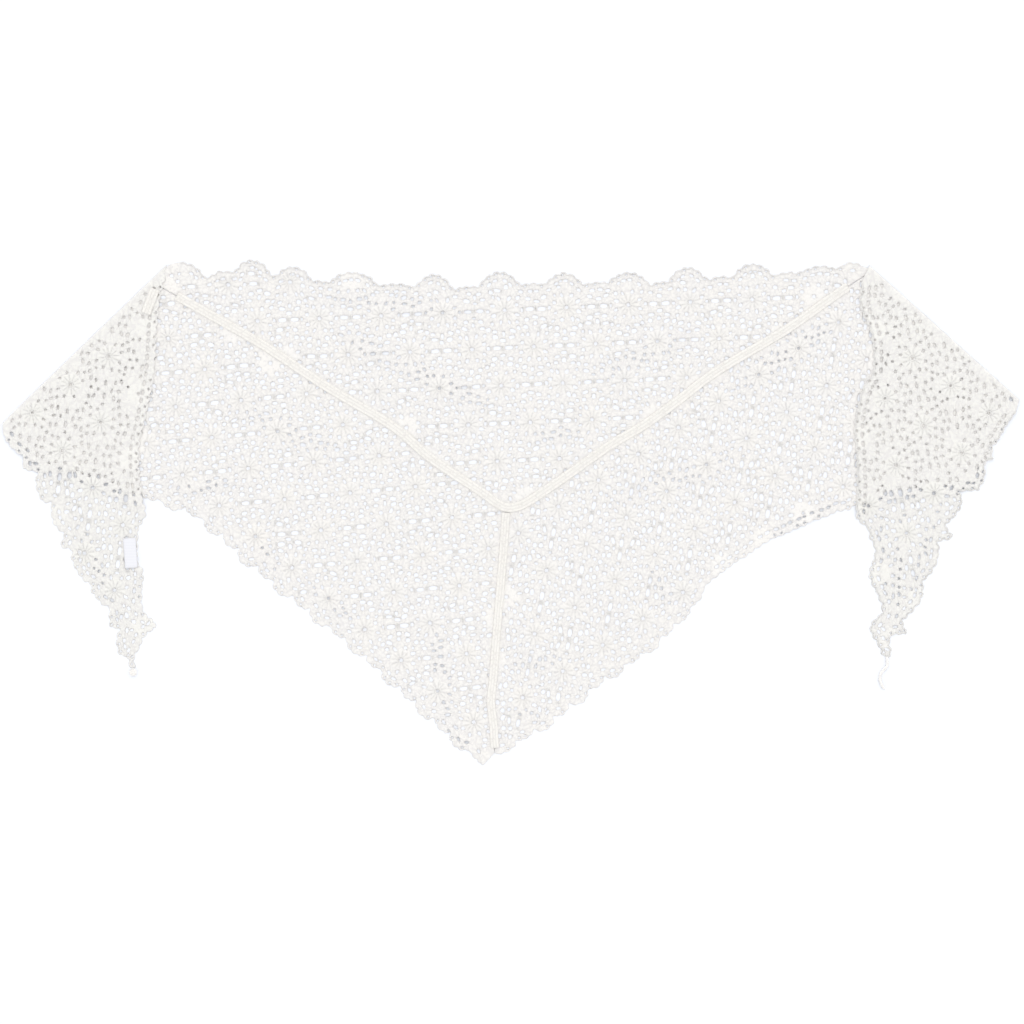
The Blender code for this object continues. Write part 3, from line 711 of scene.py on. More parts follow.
undersideShare = 11  # the underside has one of this many of the upper side's points
stitchWork = {
    "pitch": 2.9,         # from one stitch to the next round a gap
    "thread": 0.75,       # width of a raised yarn
    "sides": 5,           # flat sides of its round
    "sunk": 0.34,         # how far it lies in the yarns under it
    "ring": 3.3,          # radius of the ring round a flower's eyelet
    "ringSteps": 18,
    "posts": 12,          # stitches from that ring to the petals' tips
    "postStart": 4.8,
    "postEnd": 10.9,
    "postSteps": 4,
    "barSpread": 1.5,     # from the end of a long gap to the upright stitches beside it
    "barPast": 0.6,       # how far they reach past the gap's width
    "barFrom": 0.85,      # a gap is long from this share of pairLength
    "rayWidth": 2.0,      # stitches round a gap are counted half this far out
    "bodyDepth": 2.0,     # the raised yarns lie on the lace as it is this far from a rim
    "chainInset": 1.5,    # the chain along a free hem lies this far in
}


def stitchRays(upper, triangles, gaps, gapOf, lattice):
    # Each corner's place about the gap or flower that its stitches run out from, and how
    # many go round it.
    middles = upper[triangles].mean(axis=1)
    rays = np.zeros((len(triangles), 3, 3))
    corner = np.array(gapOf)[triangles]
    owner = corner.max(axis=1)
    known = owner >= 0
    gap = gaps[owner]
    cosine, sine = np.cos(gap[:, 4])[:, None], np.sin(gap[:, 4])[:, None]
    away = upper[triangles] - gap[:, None, :2]
    rays[:, :, 0] = (away[:, :, 0] * cosine + away[:, :, 1] * sine) / gap[:, 2:3]
    rays[:, :, 1] = (away[:, :, 1] * cosine - away[:, :, 0] * sine) / gap[:, 3:4]
    around = math.pi * (0.5 * (gap[:, 2] + gap[:, 3]) + stitchWork["rayWidth"])
    rays[:, :, 2] = np.round(around / stitchWork["pitch"])[:, None]
    petal = np.hypot(*nearestFlower(middles, lattice).T) < flower["petalEnd"]
    rays[petal | ~known] = 0.0
    return rays


def stitchLines(name, edge, loose, gaps, lattice):
    # Middle lines of the raised yarns: rings and posts on the flowers, upright stitches
    # beside the long gaps, and a chain along every free hem.
    turn = lattice[3]
    rows = []
    middles = np.array(cellMiddles(lattice, edge, 0))
    clear = insideOutline(middles, edge) & (pathDistance(middles, edge)[0] > flower["petalEnd"])
    around = 2 * math.pi * np.arange(stitchWork["ringSteps"]) / stitchWork["ringSteps"]
    ring = stitchWork["ring"] * np.column_stack((np.cos(around), np.sin(around)))
    span = np.linspace(stitchWork["postStart"], stitchWork["postEnd"], stitchWork["postSteps"])
    for middle in middles[clear]:
        rows.append((middle + ring, True))
        for post in range(stitchWork["posts"]):
            angle = turn + 2 * math.pi * (post + 0.5) / stitchWork["posts"]
            rows.append((middle + span[:, None] * (math.cos(angle), math.sin(angle)), False))
    for gap in gaps[gaps[:, 2] > stitchWork["barFrom"] * pairLength]:
        along = np.array((math.cos(gap[4]), math.sin(gap[4])))
        across = np.array((-along[1], along[0]))
        for side in (-1, 1):
            place = gap[:2] + side * along * (0.5 * gap[2] + stitchWork["barSpread"])
            half = 0.5 * gap[3] + stitchWork["barPast"]
            rows.append((place + np.array((-half, 0.0, half))[:, None] * across, False))
    ahead = np.roll(edge, -1, axis=0) - np.roll(edge, 1, axis=0)
    ahead /= np.hypot(*ahead.T)[:, None]
    chain = edge - stitchWork["chainInset"] * np.stack((ahead[:, 1], -ahead[:, 0]), axis=1)
    start = 0
    while start < len(edge):
        stop = start
        while stop < len(edge) and loose[stop]:
            stop += 1
        if stop - start > 5:
            rows.append((chain[start + 2:stop - 2], False))
        start = stop + 1
    points = np.concatenate([line for line, _ in rows])
    covered = isCovered(name, points)
    body = np.full(len(points), stitchWork["bodyDepth"])
    height = clothHeight(name, points) + laceHeight(points, body, lattice, covered)
    height += 0.5 * stitchWork["thread"] - stitchWork["sunk"]
    places, edges = [], []
    first = 0
    for line, closed in rows:
        last = first + len(line)
        if not covered[first:last].any():
            count = len(places)
            places.extend(np.column_stack((line, height[first:last])).tolist())
            edges.extend((index, index + 1) for index in range(count, len(places) - 1))
            if closed:
                edges.append((len(places) - 1, count))
        first = last
    return np.array(places), np.array(edges)


def stitchTree():
    # Turns the loose edges of a mesh into round yarns and adds them to its faces.
    tree = bpy.data.node_groups.new("worked stitches", "GeometryNodeTree")
    for title, kind in (("Geometry", "Geometry"), ("Thread Width", "Float"), ("Sides", "Int"),
                        ("Yarn", "Material")):
        tree.interface.new_socket(title, in_out="INPUT", socket_type="NodeSocket" + kind)
    tree.interface.new_socket("Geometry", in_out="OUTPUT", socket_type="NodeSocketGeometry")
    given = tree.nodes.new("NodeGroupInput").outputs
    beside = addNode(tree, "GeometryNodeInputMeshEdgeNeighbors").outputs["Face Count"]
    loose = addNode(tree, "ShaderNodeMath", {0: beside, 1: 0.5}, operation="LESS_THAN")
    around = addNode(tree, "GeometryNodeInputMeshVertexNeighbors").outputs["Face Count"]
    bare = addNode(tree, "ShaderNodeMath", {0: around, 1: 0.5}, operation="LESS_THAN")
    line = addNode(tree, "GeometryNodeMeshToCurve", {
        "Mesh": given["Geometry"], "Selection": loose.outputs[0]})
    radius = addNode(tree, "ShaderNodeMath", {0: given["Thread Width"], 1: 0.5},
                     operation="MULTIPLY")
    profile = addNode(tree, "GeometryNodeCurvePrimitiveCircle", {
        "Resolution": given["Sides"], "Radius": radius.outputs[0]})
    yarns = addNode(tree, "GeometryNodeCurveToMesh", {
        "Curve": line.outputs["Curve"], "Profile Curve": profile.outputs["Curve"],
        "Fill Caps": True})
    smooth = addNode(tree, "GeometryNodeSetShadeSmooth", {"Geometry": yarns.outputs["Mesh"]})
    marked = addNode(tree, "GeometryNodeStoreNamedAttribute", {
        "Geometry": smooth.outputs["Geometry"], "Name": "relief", "Value": 1.0}, data_type="FLOAT")
    cloth = addNode(tree, "GeometryNodeDeleteGeometry", {
        "Geometry": given["Geometry"], "Selection": bare.outputs[0]}, domain="POINT")
    both = tree.nodes.new("GeometryNodeJoinGeometry")
    tree.links.new(marked.outputs["Geometry"], both.inputs["Geometry"])
    tree.links.new(cloth.outputs["Geometry"], both.inputs["Geometry"])
    real = addNode(tree, "GeometryNodeRealizeInstances", {"Geometry": both.outputs["Geometry"]})
    dyed = addNode(tree, "GeometryNodeSetMaterial", {
        "Geometry": real.outputs["Geometry"], "Material": given["Yarn"]})
    result = tree.nodes.new("NodeGroupOutput")
    tree.links.new(dyed.outputs["Geometry"], result.inputs["Geometry"])
    return tree


def workStitches(mesh, tree, material):
    # The mesh with its loose edges worked as yarns of the given material.
    blank = bpy.data.objects.new(mesh.name, mesh)
    bpy.context.scene.collection.objects.link(blank)
    modifier = blank.modifiers.new("worked stitches", "NODES")
    modifier.node_group = tree
    values = {
        "Thread Width": stitchWork["thread"] * mm, "Sides": stitchWork["sides"], "Yarn": material}
    for socket in tree.interface.items_tree:
        if socket.in_out == "INPUT" and socket.name in values:
            modifier[socket.identifier] = values[socket.name]
    shown = blank.evaluated_get(bpy.context.evaluated_depsgraph_get())
    worked = bpy.data.meshes.new_from_object(shown)
    bpy.data.objects.remove(blank)
    bpy.data.meshes.remove(mesh)
    return worked


def smoothMesh(name, places, faces, relief=None, edges=()):
    # A smooth mesh in metres, and how raised each of its points is, which the material turns into
    # painted shade where it is low.
    mesh = bpy.data.meshes.new(name)
    mesh.from_pydata((np.array(places) * mm).tolist(), list(edges), faces)
    mesh.update()
    mesh.shade_smooth()
    if relief is not None:
        layer = mesh.attributes.new("relief", "FLOAT", "POINT")
        layer.data.foreach_set("value", np.array(relief, dtype=np.float32))
    return mesh


def buildLace(name, rings, gaps, extra, depth, nearest, lattice, lines):
    # A closed lace mesh: a fine upper side, a coarse underside, and the rims between them.
    edge = rings[0]
    upper, upperTriangles, origin = triangulate(rings, extra, edge)
    ringCount = sum(len(ring) for ring in rings)
    ringOf = np.repeat(np.arange(len(rings)), [len(ring) for ring in rings]) - 1
    upperDepth = np.zeros(len(upper))
    gapOf = np.full(len(upper), -1)
    onRing = (origin >= 0) & (origin < ringCount)
    gapOf[onRing] = ringOf[origin[onRing]]
    known = origin >= ringCount
    upperDepth[known] = depth[origin[known] - ringCount]
    gapOf[known] = nearest[origin[known] - ringCount]
    lower, lowerTriangles, _ = triangulate(rings, extra[::undersideShare], edge)
    worked = laceHeight(upper, upperDepth, lattice, isCovered(name, upper))
    vertices = np.concatenate((
        np.column_stack((upper, clothHeight(name, upper) + worked)),
        np.column_stack((lower, clothHeight(name, lower))),
    ))
    shift = len(upper)
    faces = upperTriangles.tolist() + (lowerTriangles[:, ::-1] + shift).tolist()
    lowerOf = {tuple(place): index + shift for index, place in enumerate(lower.round(4).tolist())}
    keys = upper.round(4).tolist()
    sides = np.concatenate([upperTriangles[:, pair] for pair in ((0, 1), (1, 2), (2, 0))]).tolist()
    there = set(map(tuple, sides))
    for one, two in sides:
        if (two, one) not in there:
            faces.append((two, one, lowerOf[tuple(keys[one])], lowerOf[tuple(keys[two])]))
    places, edges = lines
    relief = np.concatenate((worked / scarf["wall"], np.ones(len(lower) + len(places))))
    mesh = smoothMesh(name, np.concatenate((vertices, places)), faces, relief,
                      (edges + len(vertices)).tolist())
    known = stitchRays(upper, upperTriangles, gaps, gapOf, lattice).reshape(-1, 3)
    rays = np.zeros((len(mesh.loops), 3), dtype=np.float32)
    rays[:len(known)] = known
    layer = mesh.attributes.new("rays", "FLOAT_VECTOR", "CORNER")
    layer.data.foreach_set("vector", rays.ravel())
    print(name, "gaps", len(rings) - 1, "triangles", sum(len(face) - 2 for face in faces))
    return mesh


# Materials: one small function adds a node, and one turns sRGB hex values to linear.
def addNode(tree, kind, inputs=(), **settings):
    node = tree.nodes.new(kind)
    for key, value in settings.items():
        setattr(node, key, value)
    for socket, value in dict(inputs).items():
        if isinstance(value, bpy.types.NodeSocket):
            tree.links.new(value, node.inputs[socket])
        else:
            node.inputs[socket].default_value = value
    return node


def linearColour(hexValue):
    shares = [int(hexValue[start:start + 2], 16) / 255 for start in (1, 3, 5)]
    return [s / 12.92 if s <= 0.04045 else ((s + 0.055) / 1.055) ** 2.4 for s in shares] + [1.0]


def newMaterial(name, roughness, sheen=0.0, specular=0.3):
    material = bpy.data.materials.new(name)
    material.use_nodes = True
    shader = material.node_tree.nodes["Principled BSDF"]
    shader.inputs["Roughness"].default_value = roughness
    shader.inputs["Sheen Weight"].default_value = sheen
    shader.inputs["Sheen Roughness"].default_value = 0.5
    shader.inputs["Specular IOR Level"].default_value = specular
    shader.inputs["IOR"].default_value = 1.5
    return material, material.node_tree, shader


yarn = {
    "light": "#f3efe9",   # one of two tints mixed at random in large patches
    "cool": "#f0eeec",    # the other of the two tints
    "deep": "#dfdcdb",    # painted shade in the grooves and at the gaps' rims, and random mottle
    # Colours of the folded ends: a little darker, as painted shade of the doubled cloth.
    "shadedEndLight": "#efede7",
    "shadedEndCool": "#edebe7",
    "plyWidth": 0.9,      # from one turn of the twist to the next
    "plyDepth": 0.16,
    "stitchDepth": 0.32,  # depth between two stitches, which are drawn as coarse as they show
    "stitchShade": 0.55,  # painted shade between two stitches: how far the colour goes to the deep one there
    "speckWidth": 2.4,    # loose and tight yarns mottle the lace at this size
    "speckShade": 0.7,
    "glow": 0.5,          # light that passes through the thin yarn
    "glowReach": 1.8,
}


def crochetMaterial(name, lightHex, coolHex, shadeAndMottleHex):
    # Soft spun cotton yarn, crocheted: matt and a little fuzzy, so its edges glow softly.
    material, tree, shader = newMaterial(name, 0.88, 0.15)
    place = addNode(tree, "ShaderNodeTexCoord").outputs["Object"]
    relief = addNode(tree, "ShaderNodeAttribute", attribute_name="relief").outputs["Fac"]
    rays = addNode(tree, "ShaderNodeAttribute", attribute_name="rays").outputs["Vector"]
    ray = addNode(tree, "ShaderNodeSeparateXYZ", {"Vector": rays})
    turn = addNode(tree, "ShaderNodeMath", {0: ray.outputs["Y"], 1: ray.outputs["X"]},
                   operation="ARCTAN2")
    count = addNode(tree, "ShaderNodeMath", {0: turn.outputs[0], 1: ray.outputs["Z"]},
                    operation="MULTIPLY")
    wave = addNode(tree, "ShaderNodeMath", {0: count.outputs[0]}, operation="COSINE")
    dip = addNode(tree, "ShaderNodeMapRange", {
        "Value": wave.outputs[0], "From Min": -1.0, "From Max": 0.3, "To Min": 1.0, "To Max": 0.0})
    cloud = addNode(tree, "ShaderNodeTexNoise", {"Vector": place, "Scale": 28.0, "Detail": 2.0})
    fibre = addNode(tree, "ShaderNodeTexNoise", {
        "Vector": place, "Scale": 1.0 / (yarn["plyWidth"] * mm), "Detail": 2.0, "Roughness": 0.6})
    ply = addNode(tree, "ShaderNodeTexVoronoi", {
        "Vector": place, "Scale": 0.8 / (yarn["plyWidth"] * mm), "Randomness": 0.8})
    body = addNode(tree, "ShaderNodeMix", {"Factor": cloud.outputs["Fac"]}, data_type="RGBA")
    body.inputs["A"].default_value = linearColour(lightHex)
    body.inputs["B"].default_value = linearColour(coolHex)
    # Painted shade: the colour goes to the deep one where the lace lies low, in its grooves and at
    # the rims of its gaps.
    groove = addNode(tree, "ShaderNodeMapRange", {
        "Value": relief, "From Min": 0.15, "From Max": 0.8, "To Min": 1.0, "To Max": 0.0})
    speck = addNode(tree, "ShaderNodeTexNoise", {
        "Vector": place, "Scale": 1.0 / (yarn["speckWidth"] * mm), "Detail": 1.0})
    mottle = addNode(tree, "ShaderNodeMapRange", {
        "Value": speck.outputs["Fac"], "From Min": 0.48, "From Max": 0.68, "To Min": 0.0,
        "To Max": yarn["speckShade"]})
    raised = addNode(tree, "ShaderNodeMapRange", {
        "Value": relief, "From Min": 1.02, "From Max": 1.22, "To Min": 1.0, "To Max": 0.3})
    faint = addNode(tree, "ShaderNodeMath", {
        0: mottle.outputs["Result"], 1: raised.outputs["Result"]}, operation="MULTIPLY")
    shadeAndMottle = addNode(tree, "ShaderNodeMath", {
        0: groove.outputs["Result"], 1: faint.outputs[0]}, operation="MAXIMUM")
    # Painted shade in the valleys between the stitches round a gap.
    stitchValleyShade = addNode(tree, "ShaderNodeMath", {
        0: dip.outputs["Result"], 1: yarn["stitchShade"]}, operation="MULTIPLY")
    shade = addNode(tree, "ShaderNodeMath", {
        0: shadeAndMottle.outputs[0], 1: stitchValleyShade.outputs[0]}, operation="MAXIMUM")
    colour = addNode(tree, "ShaderNodeMix", {
        "Factor": shade.outputs[0], "A": body.outputs["Result"]}, data_type="RGBA")
    colour.inputs["B"].default_value = linearColour(shadeAndMottleHex)
    tree.links.new(colour.outputs["Result"], shader.inputs["Base Color"])
    spun = addNode(tree, "ShaderNodeMath", {
        0: fibre.outputs["Fac"], 1: ply.outputs["Distance"]}, operation="ADD")
    rough = addNode(tree, "ShaderNodeBump", {
        "Height": spun.outputs["Value"], "Strength": 0.6, "Distance": yarn["plyDepth"] * mm})
    bump = addNode(tree, "ShaderNodeBump", {
        "Height": dip.outputs["Result"], "Normal": rough.outputs["Normal"], "Strength": 0.8,
        "Distance": yarn["stitchDepth"] * mm}, invert=True)
    tree.links.new(bump.outputs["Normal"], shader.inputs["Normal"])
    shader.inputs["Subsurface Weight"].default_value = yarn["glow"]
    shader.inputs["Subsurface Radius"].default_value = (1.0, 1.0, 1.0)
    shader.inputs["Subsurface Scale"].default_value = yarn["glowReach"] * mm
    return material


def finishPiece(name, mesh, material, slot, *nodes):
    # An object at the origin with its own finish, in place of the nodes it stands for.
    mesh.materials.clear()
    mesh.materials.append(material)
    mesh.name = name
    piece = bpy.data.objects.new(name, mesh)
    bpy.context.scene.collection.objects.link(piece)
    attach(piece, "root")
    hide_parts(*nodes)
    return piece


bodyYarn = crochetMaterial("cotton crochet lace", yarn["light"], yarn["cool"], yarn["deep"])
# The folded ends get a copy of the lace's colours that is a little darker and creamier: painted
# shade for the doubled cloth.
shadedEndYarn = crochetMaterial("cotton crochet lace shaded end", yarn["shadedEndLight"], yarn["shadedEndCool"],
                              yarn["deep"])
stitches = stitchTree()
laceNames = {
    "yoke_panel": "yoke_lace",
    "left_panel": "left_side_lace",
    "right_panel": "right_side_lace",
    "left_end": "left_end_lace",
    "right_end": "right_end_lace",
}
for order, (node, name) in enumerate(reversed(laceNames.items())):
    print("working", name)
    material = shadedEndYarn if node in foldedEnds else bodyYarn
    mesh = workStitches(lacePanel(node, 10 + order), stitches, material)
    print(name, "triangles with its stitches",
          sum(len(face.vertices) - 2 for face in mesh.polygons))
    piece = finishPiece(name, mesh, material, "lace", node)


def tapePath(node, axis):
    # Middle line of a tape: the points of its crown in order along it, out to both ends.
    points, _ = nodeMesh(node)
    crown = points[points[:, 2] > points[:, 2].max() - 0.02]
    crown = crown[np.argsort(crown[:, axis])][:, :2]
    ends = []
    for last, before in ((crown[0], crown[1]), (crown[-1], crown[-2])):
        ahead = (last - before) / np.hypot(*(last - before))
        away = points[:, :2] - last
        near = np.hypot(*away.T) < 16.0
        ends.append(last + ahead * (away[near] @ ahead).max())
    return np.concatenate((ends[:1], crown, ends[1:]))


tapeLook = {
    "width": 10.0,
    "centreWidth": 9.0,
    "foldWidth": 10.5,
    "pressedWidth": 10.0,  # the centre band is taken to be the same tape as the V's
    "wall": 1.15,
    "step": 1.3,
    "ribs": 3,             # cords that run along the tape
    "ribRise": 0.16,
    "stitchPitch": 3.4,
    "stitchRise": 0.14,
    "edgeWall": 0.45,      # share of the wall left at its two edges
    "edgeRound": 8,        # a higher power keeps it flatter
    "waver": 0.02,         # how much its width changes from stitch to stitch
    "grooveShade": 0.7,    # painted shade: how dark the colour is between two ribs
    "light": "#f4f0e9",
    "cool": "#f1eee9",
    # deep: painted shade between the ribs, and random mottle
    "deep": "#e0dcd7",
}


def smoothPath(points, step):
    # Even points along a smooth curve through the given ones.
    steps = 10
    dense = []
    last = len(points) - 1
    for index in range(last):
        near = [points[min(max(index + shift, 0), last)] for shift in (-1, 0, 1, 2)]
        dense.extend(curvePlace(*near, t) for t in np.arange(steps) / steps)
    dense.append(points[-1])
    dense = np.array(dense)
    lengths = runLengths(dense[:, :2])
    places = np.linspace(0.0, lengths[-1], max(2, round(lengths[-1] / step)) + 1)
    return np.stack([np.interp(places, lengths, column) for column in dense.T], axis=1)


def bandMesh(name, path, width, base):
    # A crocheted band: ribs along it, small stitches across them, flat underneath.
    path = smoothPath(path[:, :2], tapeLook["step"])
    ahead = np.gradient(path, axis=0)
    ahead /= np.hypot(*ahead.T)[:, None]
    side = np.stack((-ahead[:, 1], ahead[:, 0]), axis=1)
    lengths = runLengths(path)
    across = np.linspace(-0.5, 0.5, 8 * tapeLook["ribs"] + 1)
    rounded = np.sqrt(np.clip(1.0 - (2 * np.abs(across)) ** tapeLook["edgeRound"], 0.0, 1.0))
    rib = np.abs(np.cos(math.pi * tapeLook["ribs"] * (across + 0.5 + 0.5 / tapeLook["ribs"])))
    stitch = np.cos(2 * math.pi * (lengths[:, None] + 2.0 * np.abs(across)[None] * width / 4)
                    / tapeLook["stitchPitch"])
    rounded = tapeLook["edgeWall"] + (1.0 - tapeLook["edgeWall"]) * rounded
    top = base + tapeLook["wall"] * rounded[None] + tapeLook["ribRise"] * (rib - 1.0)[None]
    top = top + tapeLook["stitchRise"] * stitch * (rib > 0.2)[None]
    rows, columns = top.shape
    beat = np.cos(2 * math.pi * lengths / tapeLook["stitchPitch"])
    wave = width * (1.0 + tapeLook["waver"] * beat)
    places = path[:, None] + side[:, None] * (across[None] * wave[:, None])[:, :, None]
    upper = np.concatenate((places, top[:, :, None]), axis=2).reshape(-1, 3)
    lower = upper.reshape(rows, columns, 3)[:, [0, -1]].reshape(-1, 3)
    lower[:, 2] = base
    faces = []
    for row in range(rows - 1):
        for column in range(columns - 1):
            start = row * columns + column
            faces.append((start, start + columns, start + columns + 1, start + 1))
    shift = len(upper)
    for row in range(rows - 1):
        a, b = shift + 2 * row, shift + 2 * row + 1
        faces.append((a, b, b + 2, a + 2))
        faces.append((row * columns, a, a + 2, (row + 1) * columns))
        faces.append((row * columns + columns - 1, (row + 1) * columns + columns - 1, b + 2, b))
    first = range(columns)
    final = [(rows - 1) * columns + column for column in range(columns)]
    faces.append((*first, shift + 1, shift))
    faces.append((shift + 2 * rows - 2, shift + 2 * rows - 1, *final[::-1]))
    # Painted shade between the ribs, handed to the material as the relief that it darkens.
    shaded = 1.0 - tapeLook["grooveShade"] * (1.0 - np.tile(rib, rows))
    return smoothMesh(name, np.concatenate((upper, lower)), faces,
                      np.concatenate((shaded, np.ones(len(lower)))))


print("working the tapes")
bandYarn = crochetMaterial("cream cotton crochet band", tapeLook["light"], tapeLook["cool"],
                           tapeLook["deep"])
for node, name, axis, width, under in (
    ("v_tape", "v_band", 0, tapeLook["width"], ["yoke_lace", "left_side_lace", "right_side_lace"]),
    ("centre_tape", "centre_band", 1, tapeLook["centreWidth"],
     ["left_side_lace", "right_side_lace"]),
    ("left_fold_tape", "left_fold_band", 1, tapeLook["foldWidth"], ["left_end_lace"]),
):
    route = tapePath(node, axis)
    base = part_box(node)[0].z / mm
    piece = finishPiece(name, bandMesh(name, route, width, base), bandYarn, "tape", node)


labelLook = {
    "width": 14.0,
    "length": 33.0,
    "wall": 0.9,
    "corner": 1.6,
    "turn": 4.0,
    "taper": 0.03,        # its ends draw in a little at the corners
    "lift": 0.25,         # height over the lace under it
    "curl": 0.25,         # how far its ends curl up, before they settle
    "wave": 0.2,
    "settled": 0.4,
    "edgeWall": 0.45,     # share of the wall left at its rim
    "rim": 0.06,          # width of the thinner rim, as a share of the label
    "light": "#e9e9ed",
    "deep": "#e6e6eb",
    "ribStep": 0.5,       # a rib of the weave is 2 pi times this wide
    "ribDepth": 0.05,
}


def labelMesh(name):
    # A thin bare label that curls up a little at its ends.
    low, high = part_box("care_label")
    middle = np.array(((low.x + high.x) / 2, (low.y + high.y) / 2)) / mm
    turn = math.radians(labelLook["turn"])
    columns, rows = 9, 19
    vertices, faces = [], []
    for side in (1, 0):
        for row in range(rows):
            for column in range(columns):
                u, v = column / (columns - 1) - 0.5, row / (rows - 1) - 0.5
                x = u * labelLook["width"]
                y = v * labelLook["length"]
                corner = max(abs(x) - (labelLook["width"] / 2 - labelLook["corner"]), 0.0)
                y *= 1.0 - labelLook["taper"] * corner / labelLook["corner"]
                curl = labelLook["curl"] * (2 * v) ** 4
                curl += labelLook["wave"] * math.cos(4.5 * u + 3.0 * v)
                inward = min(min(0.5 - abs(u), 0.5 - abs(v)) / labelLook["rim"], 1.0)
                thick = labelLook["edgeWall"] + (1.0 - labelLook["edgeWall"]) * inward
                z = low.z / mm + labelLook["lift"] + curl * labelLook["settled"]
                vertices.append((
                    middle[0] + x * math.cos(turn) - y * math.sin(turn),
                    middle[1] + x * math.sin(turn) + y * math.cos(turn),
                    z + (labelLook["wall"] * thick if side else 0.0),
                ))
    count = columns * rows
    for row in range(rows - 1):
        for column in range(columns - 1):
            a = row * columns + column
            faces.append((a, a + 1, a + columns + 1, a + columns))
            faces.append((a + count, a + count + columns, a + count + columns + 1, a + count + 1))
    rim = list(range(columns))
    rim += [row * columns + columns - 1 for row in range(1, rows)]
    rim += [(rows - 1) * columns + column for column in range(columns - 2, -1, -1)]
    rim += [row * columns for row in range(rows - 2, 0, -1)]
    for one, two in zip(rim, rim[1:] + rim[:1]):
        faces.append((two, one, one + count, two + count))
    return smoothMesh(name, vertices, faces)


def satinMaterial():
    # Polyester satin ribbon, woven: smooth, with a soft sheen. Its threads are too fine to
    # show, so they are drawn as faint ribs about 3 mm wide.
    material, tree, shader = newMaterial("woven satin label", 0.45, 0.2, 0.5)
    place = addNode(tree, "ShaderNodeTexCoord").outputs["Object"]
    threads = addNode(tree, "ShaderNodeTexWave", {
        "Vector": place, "Scale": 1.0 / (labelLook["ribStep"] * mm) / 20, "Distortion": 0.4},
        bands_direction="Y")
    colour = addNode(tree, "ShaderNodeMix", {"Factor": threads.outputs["Fac"]}, data_type="RGBA")
    colour.inputs["A"].default_value = linearColour(labelLook["light"])
    colour.inputs["B"].default_value = linearColour(labelLook["deep"])
    tree.links.new(colour.outputs["Result"], shader.inputs["Base Color"])
    bump = addNode(tree, "ShaderNodeBump", {
        "Height": threads.outputs["Fac"], "Strength": 0.3,
        "Distance": labelLook["ribDepth"] * mm})
    tree.links.new(bump.outputs["Normal"], shader.inputs["Normal"])
    return material


print("making the label, knot and cord")
label = finishPiece("side_label", labelMesh("side_label"), satinMaterial(), "label", "care_label")

cordLook = {
    "diameter": 3.6,
    "height": 1.8,        # of its middle over the table
    "length": 40.0,
    "plies": 2,
    "plyDepth": 0.20,     # depth between two plies, as a share of the radius
    "tipSize": 0.55,      # radius at its very tips, as a share of the rest
    "twist": 7.0,
    "sides": 12,
    "step": 0.9,
}
# Its route along the table from the right tail's tip: x and y.
cordRows = (
    (413.0, -158.07), (413.6, -163.07), (413.4, -168.47), (409.4, -173.07),
    (406.0, -177.87), (405.6, -183.67), (407.6, -189.27), (410.4, -194.07),
)


def cordMesh(name, path):
    # Two plies twisted together along the cord's route, with closed round ends.
    sides = cordLook["sides"]
    lengths = runLengths(path[:, :2])
    ahead = np.gradient(path[:, :2], axis=0)
    ahead /= np.hypot(*ahead.T)[:, None]
    side = np.stack((-ahead[:, 1], ahead[:, 0]), axis=1)
    vertices, faces = [], []
    for row, (place, length) in enumerate(zip(path, lengths)):
        tip = min(length, lengths[-1] - length) / cordLook["diameter"] * 2
        radius = 0.5 * cordLook["diameter"] * (
            cordLook["tipSize"] + (1.0 - cordLook["tipSize"]) * min(tip, 1.0) ** 0.5)
        for index in range(sides):
            turn = 2 * math.pi * index / sides
            ply = turn - 2 * math.pi * length / cordLook["twist"] / cordLook["plies"]
            lobe = abs(math.cos(0.5 * cordLook["plies"] * ply))
            reach = radius * (1.0 - cordLook["plyDepth"] + cordLook["plyDepth"] * lobe)
            vertices.append((
                place[0] + side[row][0] * reach * math.cos(turn),
                place[1] + side[row][1] * reach * math.cos(turn),
                place[2] + reach * math.sin(turn),
            ))
    for row in range(len(path) - 1):
        for index in range(sides):
            after = (index + 1) % sides
            a, b = row * sides + index, row * sides + after
            faces.append((b, b + sides, a + sides, a))
    faces.append(tuple(range(sides))[::-1])
    faces.append(tuple((len(path) - 1) * sides + index for index in range(sides)))
    return smoothMesh(name, vertices, faces, np.ones(len(vertices)))


cordPath = np.array([(x, y, cordLook["height"]) for x, y in cordRows])
cordPath = smoothPath(cordPath, cordLook["step"])
cord = finishPiece("right_tip_string", cordMesh("right_tip_string", cordPath), bodyYarn, "lace",
                   "right_tip_cord")


knotLook = {
    "rings": 22,
    "sides": 36,
    "winds": 9.0,         # turns of the yarn round it
    "axis": (0.6, 0.5, 0.62),
    "body": 0.93,         # share of the node's size between two yarns and on them
    "yarn": 0.07,
    "top": 0.95,
    "bottom": 0.98,
    "floor": 0.02,        # its lowest point stays over the table
}


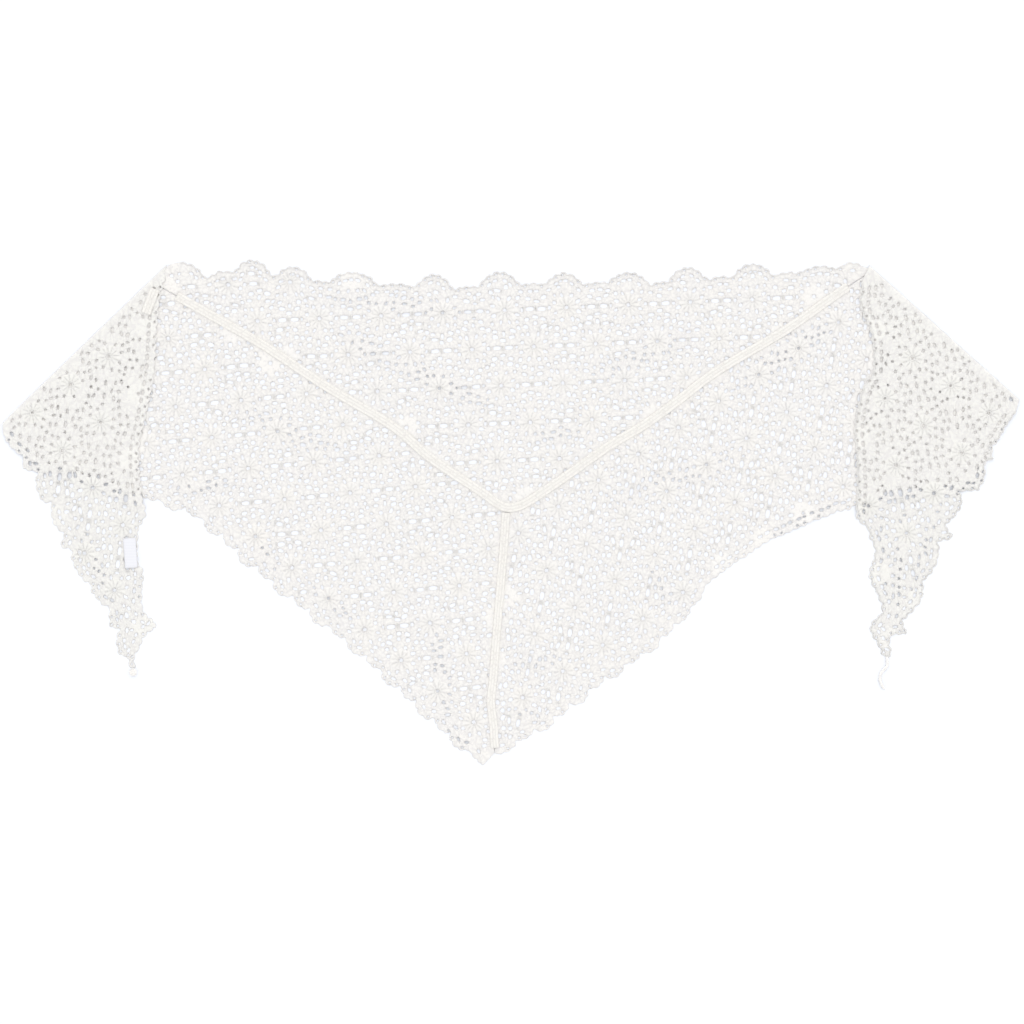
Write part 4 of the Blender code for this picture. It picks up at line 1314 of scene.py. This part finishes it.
def knotMesh(name):
    # A tight round knot: yarn wound in a flattened ball.
    low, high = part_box("left_tip_knot")
    middle = np.array(((low.x + high.x) / 2, (low.y + high.y) / 2, (low.z + high.z) / 2)) / mm
    half = np.array((high.x - low.x, high.y - low.y, high.z - low.z)) / 2 / mm
    rings, sides = knotLook["rings"], knotLook["sides"]
    vertices, faces = [], []
    for ring in range(1, rings):
        tilt = math.pi * ring / rings
        for index in range(sides):
            turn = 2 * math.pi * index / sides
            direction = np.array((math.sin(tilt) * math.cos(turn), math.sin(tilt) * math.sin(turn),
                                  math.cos(tilt)))
            lean = math.acos(max(-1.0, min(1.0, direction @ knotLook["axis"])))
            wind = math.cos(knotLook["winds"] * lean + turn)
            place = middle + direction * half * (knotLook["body"] + knotLook["yarn"] * wind)
            vertices.append((place[0], place[1], max(place[2], knotLook["floor"])))
    for ring in range(rings - 2):
        for index in range(sides):
            after = (index + 1) % sides
            a, b = ring * sides + index, ring * sides + after
            faces.append((a, a + sides, b + sides, b))
    top = len(vertices)
    vertices.append(tuple(middle + (0, 0, half[2] * knotLook["top"])))
    vertices.append(tuple(middle - (0, 0, half[2] * knotLook["bottom"])))
    for index in range(sides):
        after = (index + 1) % sides
        faces.append((top, index, after))
        start = (rings - 2) * sides
        faces.append((top + 1, start + after, start + index))
    return smoothMesh(name, vertices, faces, np.ones(len(vertices)))


finishPiece("left_tip_bobble", knotMesh("left_tip_bobble"), bodyYarn, "lace", "left_tip_knot")

studio = {
    "frameWidth": 1126.4,   # what the photograph spans, corner to corner across
    "middle": (1.0, 0.63),
    "lens": 85.0,
    "sensor": 36.0,
    "floor": "#f3f5fa",
    "floorReach": 4.0,      # metres from the middle to each side
    "sky": (0.975, 0.985, 1.0),
    "skyStrength": 1.02,
    "lamp": (1.0, 0.99, 0.965),
    "lampStrength": 0.55,
    "lampAngle": 50.0,
    "lampTilt": (-30.0, 5.0),
}
print("setting the camera and light")
cameraData = bpy.data.cameras.new("camera")
cameraData.lens = studio["lens"]
cameraData.sensor_width = studio["sensor"]
camera = bpy.data.objects.new("camera", cameraData)
camera.location = (studio["middle"][0] * mm, studio["middle"][1] * mm,
                   studio["frameWidth"] * mm * studio["lens"] / studio["sensor"])
bpy.context.scene.collection.objects.link(camera)
bpy.context.scene.camera = camera

floorMesh = bpy.data.meshes.new("floor")
reach = studio["floorReach"]
floorMesh.from_pydata([(-reach, -reach, 0), (reach, -reach, 0), (reach, reach, 0),
                       (-reach, reach, 0)], [], [(0, 1, 2, 3)])
floor = bpy.data.objects.new("floor", floorMesh)
bpy.context.scene.collection.objects.link(floor)
floorPaint, _, floorShader = newMaterial("matt white table paint", 0.9, 0.0, 0.2)
floorShader.inputs["Base Color"].default_value = linearColour(studio["floor"])
floorMesh.materials.append(floorPaint)

world = bpy.data.worlds.new("studio")
bpy.context.scene.world = world
world.use_nodes = True
world.node_tree.nodes["Background"].inputs["Color"].default_value = (*studio["sky"], 1.0)
world.node_tree.nodes["Background"].inputs["Strength"].default_value = studio["skyStrength"]
lamp = bpy.data.objects.new("lamp", bpy.data.lights.new("lamp", "SUN"))
lamp.data.energy = studio["lampStrength"]
lamp.data.color = studio["lamp"]
lamp.data.angle = math.radians(studio["lampAngle"])
lamp.rotation_euler = [math.radians(angle) for angle in studio["lampTilt"]] + [0.0]
bpy.context.scene.collection.objects.link(lamp)
bpy.context.scene.view_settings.view_transform = "Standard"
